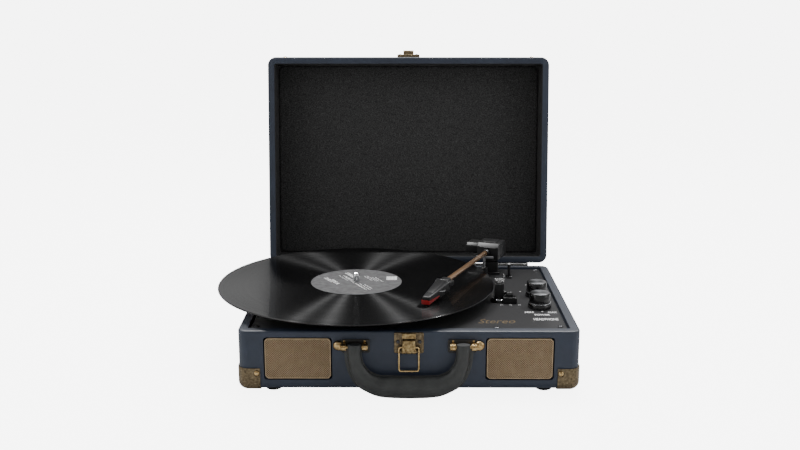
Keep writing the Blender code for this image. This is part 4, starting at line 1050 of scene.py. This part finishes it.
# --- Knobs ---
# Two-tier ABS knobs: a wide skirt, a bright ring, and a tall grip with a fine-turned aluminium
# cap let into its top.
knob_gloss, shader = finish("polished_black_abs", "#0c0c0d", 0.14, 5, dull=(0.1, 0.24),
    sockets=(("Specular IOR Level", 0.5),))
for tag, (x, y) in (("volume", (139.6, -40.0)), ("function", (141.6, 1.7))):
    hand_over(turned(f"{tag}_knob_body", (x, y, 0), [(12.0, 67.0), (12.4, 67.2), (12.4, 68.2), (12.0, 71.8),
        (11.6, 72.3), (11.0, 72.6), (11.0, 73.2), (10.95, 82.6), (10.7, 83.0), (10.2, 83.1), (10.1, 82.8),
        (6.0, 82.8)], 2, 72), tag, knob_gloss, "black_plastic", f"{tag}_knob")
    hand_over(turned(f"{tag}_knob_ring", (x, y, 0), [(11.9, 72.0), (12.0, 72.3), (11.9, 72.9), (11.4, 73.1),
        (10.9, 73.0)], 2, 72), tag, nickel, "chrome", f"{tag}_knob")
    # Fine-turned aluminium: rings 0.25 mm apart that fan the light out from the middle.
    facing, shader = start_material(f"turned_aluminium_{tag}", "#8d8e90", 0.3, 1.0,
        (("Anisotropic", 0.6), ("Anisotropic Rotation", 0.25)))
    middle = at(x, y, 0)
    spot = add_node(facing, "TexCoord")
    from_middle = add_node(facing, "Mapping", [("Vector", spot, "Object"), ("Location", (-middle.x, -middle.y, 0))])
    lathe_line = add_node(facing, "TexWave", [("Vector", from_middle, "Vector"), ("Scale", 1 / 0.0016),
        ("Distortion", 0.0)], wave_type="RINGS", rings_direction="Z")
    bump = add_node(facing, "Bump", [("Height", lathe_line, "Fac"), ("Strength", 0.15), ("Distance", 0.00003)])
    connect(facing, bump, "Normal", shader, "Normal")
    around = add_node(facing, "Tangent", direction_type="RADIAL", axis="Z")
    connect(facing, around, "Tangent", shader, "Tangent")
    hand_over(turned(f"{tag}_knob_cap", (x, y, 0), [(10.1, 82.75), (10.1, 83.05), (9.8, 83.18), (4.0, 83.18)], 2, 72),
        tag, facing, "steel", f"{tag}_knob")

# --- Lid ---
# A shallow tray of the same board and navy leatherette, lined with black grained board and
# swung open 97.6 degrees on its hinges, where it rests on the back of the case.
LID_LOW = 68.8
LID_TOP = 114.5
HINGE = (0.0, 127.25, 68.4)
LID_OPEN = 97.6


def swing_open(piece):
    """Turn a closed-lid piece open about the hinges."""
    return turn_about(piece, -LID_OPEN, "X", HINGE)


# Lining board: black, embossed with a coarse grit about 1.5 mm across that shows paler on its tops.
lining, shader = finish("grained_black_lining", "#262626", 0.8, 1.1, 3.0,
    tints=((0.38, "#1a1a1a"), (0.68, "#414141")), relief=(0.5, 0.0004), sockets=(("Specular IOR Level", 0.35),),
    rough=0.55)

lid = block("lid_tray", (-CASE_X, -CASE_Y, LID_LOW), (CASE_X, CASE_Y, LID_TOP), (10.0, 10, upright),
    (6.0, 8, above(LID_TOP - 0.01)), (1.5, 5, lambda place, along: place.z < LID_LOW + 0.01))
carve(lid, rounded_cutter("lid_inside", (-162, -117, 60), (162, 117, 109.3), 2, 2.0, 4))
lid.data.materials.append(leatherette)
lid.data.materials.append(lining)
pick(lid, "FACE", lambda place, normal: abs(place.x) < 162.1 and abs(place.y) < 117.1
    and LID_LOW + 1 < place.z < 109.4)
bpy.context.object.active_material_index = 1
bpy.ops.object.material_slot_assign()
leave_edit()
round_edges(lid, 0.5, 2, lambda place, along: place.z < LID_LOW + 0.01 and abs(place.x) < 162.1
    and abs(place.y) < 117.1)
hand_over(swing_open(lid), "lid", leatherette, "leatherette", "lid_shell")

hand_over(swing_open(block("lining_panel", (-160.5, -115.5, 107.1), (160.5, 115.5, 109.1), (7.0, 6, upright),
    (0.9, 3, lambda place, along: place.z < 107.2))), "lid", lining, "lining", "lid_lining")

catch_plate = block("catch_plate", (-13.4, FRONT - 3.2, 70.8), (13.4, FRONT - 0.2, 80.4), (1.2, 4, front_to_back),
    (0.5, 3, in_front_of(FRONT - 3.1)))
catch_hook = block("catch_hook", (-6.15, FRONT - 8.2, 72.6), (6.15, FRONT - 1.5, 78.6),
    (1.4, 4, lambda place, along: sideways(place, along) and place.y < FRONT - 8.1))
carve(catch_hook, block("hook_notch", (-7, FRONT - 6.6, 78.0), (7, FRONT - 4.2, 80)))
hand_over(swing_open(join_up("lid_catch_set", catch_plate, catch_hook)), "lid", brass, "brass", "lid_catch")
for number, x in enumerate((-10.0, 10.0), 1):
    hand_over(swing_open(cross_head(f"catch_screw_{number}", (x, FRONT - 3.2, 75.6), 1.9, 0.9, 1, -1.0, 20)), "lid",
        screw_black, "steel")

# --- Corner protectors on the lid ---
# The same stamping as on the case, on the four outer corners of the lid.
cap_corners("lid", corner_form("lid_cap", 1.2, LID_TOP - 21.3, LID_TOP + 1.15, 6.0, 148, -105, False),
    corner_form("lid_cap_inside", 0.2, 60.0, LID_TOP + 0.2, 6.0, 120, -60, False),
    block("lid_cap_under", (120, -116, 100), (161, -60, 130)), (152.0, -108.0, 97.6), "lid", "lid_corner", swing_open)

# --- Floor, light and camera ---
# A pale matt sweep, soft panels above and to the sides, and a camera a little over the case.
floor_paint, shader = start_material("white_studio_sweep", "#f4f4f4", 0.9, 0.0,
    (("Specular IOR Level", 0.1), ("Emission Color", (1.0, 1.0, 1.0, 1.0))))
select_none()
bpy.ops.mesh.primitive_plane_add(size=60.0, location=(0, 0, 0))
floor = settle("studio_floor")
floor.data.materials.append(floor_paint)
# The sweep is lit to near white for the picture, without its glare falling on the case.
seen = add_node(floor_paint, "LightPath")
glow = add_node(floor_paint, "Math", [(0, seen, "Is Camera Ray"), (1, 6.0)], operation="MULTIPLY")
connect(floor_paint, glow, "Value", shader, "Emission Strength")

world = bpy.data.worlds.new("studio_air")
bpy.context.scene.world = world
world.use_nodes = True
air = world.node_tree.nodes["Background"]
air.inputs["Color"].default_value = (1.0, 1.0, 1.0, 1.0)
air.inputs["Strength"].default_value = 0.55
beyond = add_node(world, "LightPath")
glow = add_node(world, "MapRange", [("Value", beyond, "Is Camera Ray"), ("To Min", 0.55), ("To Max", 6.5)])
connect(world, glow, "Result", air, "Strength")


def soft_panel(name, place, aim, width, height, power):
    """A soft rectangular light, aimed at a point."""
    bpy.ops.object.light_add(type="AREA", location=at(*place))
    light = bpy.context.object
    light.name = name
    light.data.shape = "RECTANGLE"
    light.data.size = width
    light.data.size_y = height
    light.data.energy = power
    light.rotation_euler = (at(*aim) - at(*place)).to_track_quat("-Z", "Y").to_euler()
    return light


# Four strips above and behind draw the bright rays that grooves make on a record.
for name, place, power in (("strip_right", (382, 322, 1587), 31), ("strip_left", (-358, 322, 1619), 29),
        ("strip_far_right", (837, 322, 1371), 38), ("strip_far_left", (-699, 322, 1513), 31)):
    strip = soft_panel(name, place, (*PLATTER, 83), 0.05, 0.05, power)
    strip.visible_diffuse = False
overhead = soft_panel("panel_overhead", (0, 500, 1550), (0, 0, 80), 1.2, 0.8, 20)
overhead.visible_glossy = False
soft_panel("panel_left", (-1300, -500, 700), (0, 0, 80), 0.9, 1.2, 5)
soft_panel("panel_right", (1300, -500, 700), (0, 0, 80), 0.9, 1.2, 5)

bpy.ops.object.camera_add(location=at(-4.0, -1075.1, 392.6), rotation=(math.radians(90 - 12.85), 0,
    math.radians(0.288)))
camera = bpy.context.object
camera.name = "studio_camera"
camera.data.lens = 45.6
camera.data.sensor_width = 36.0
bpy.context.scene.camera = camera

select_none()
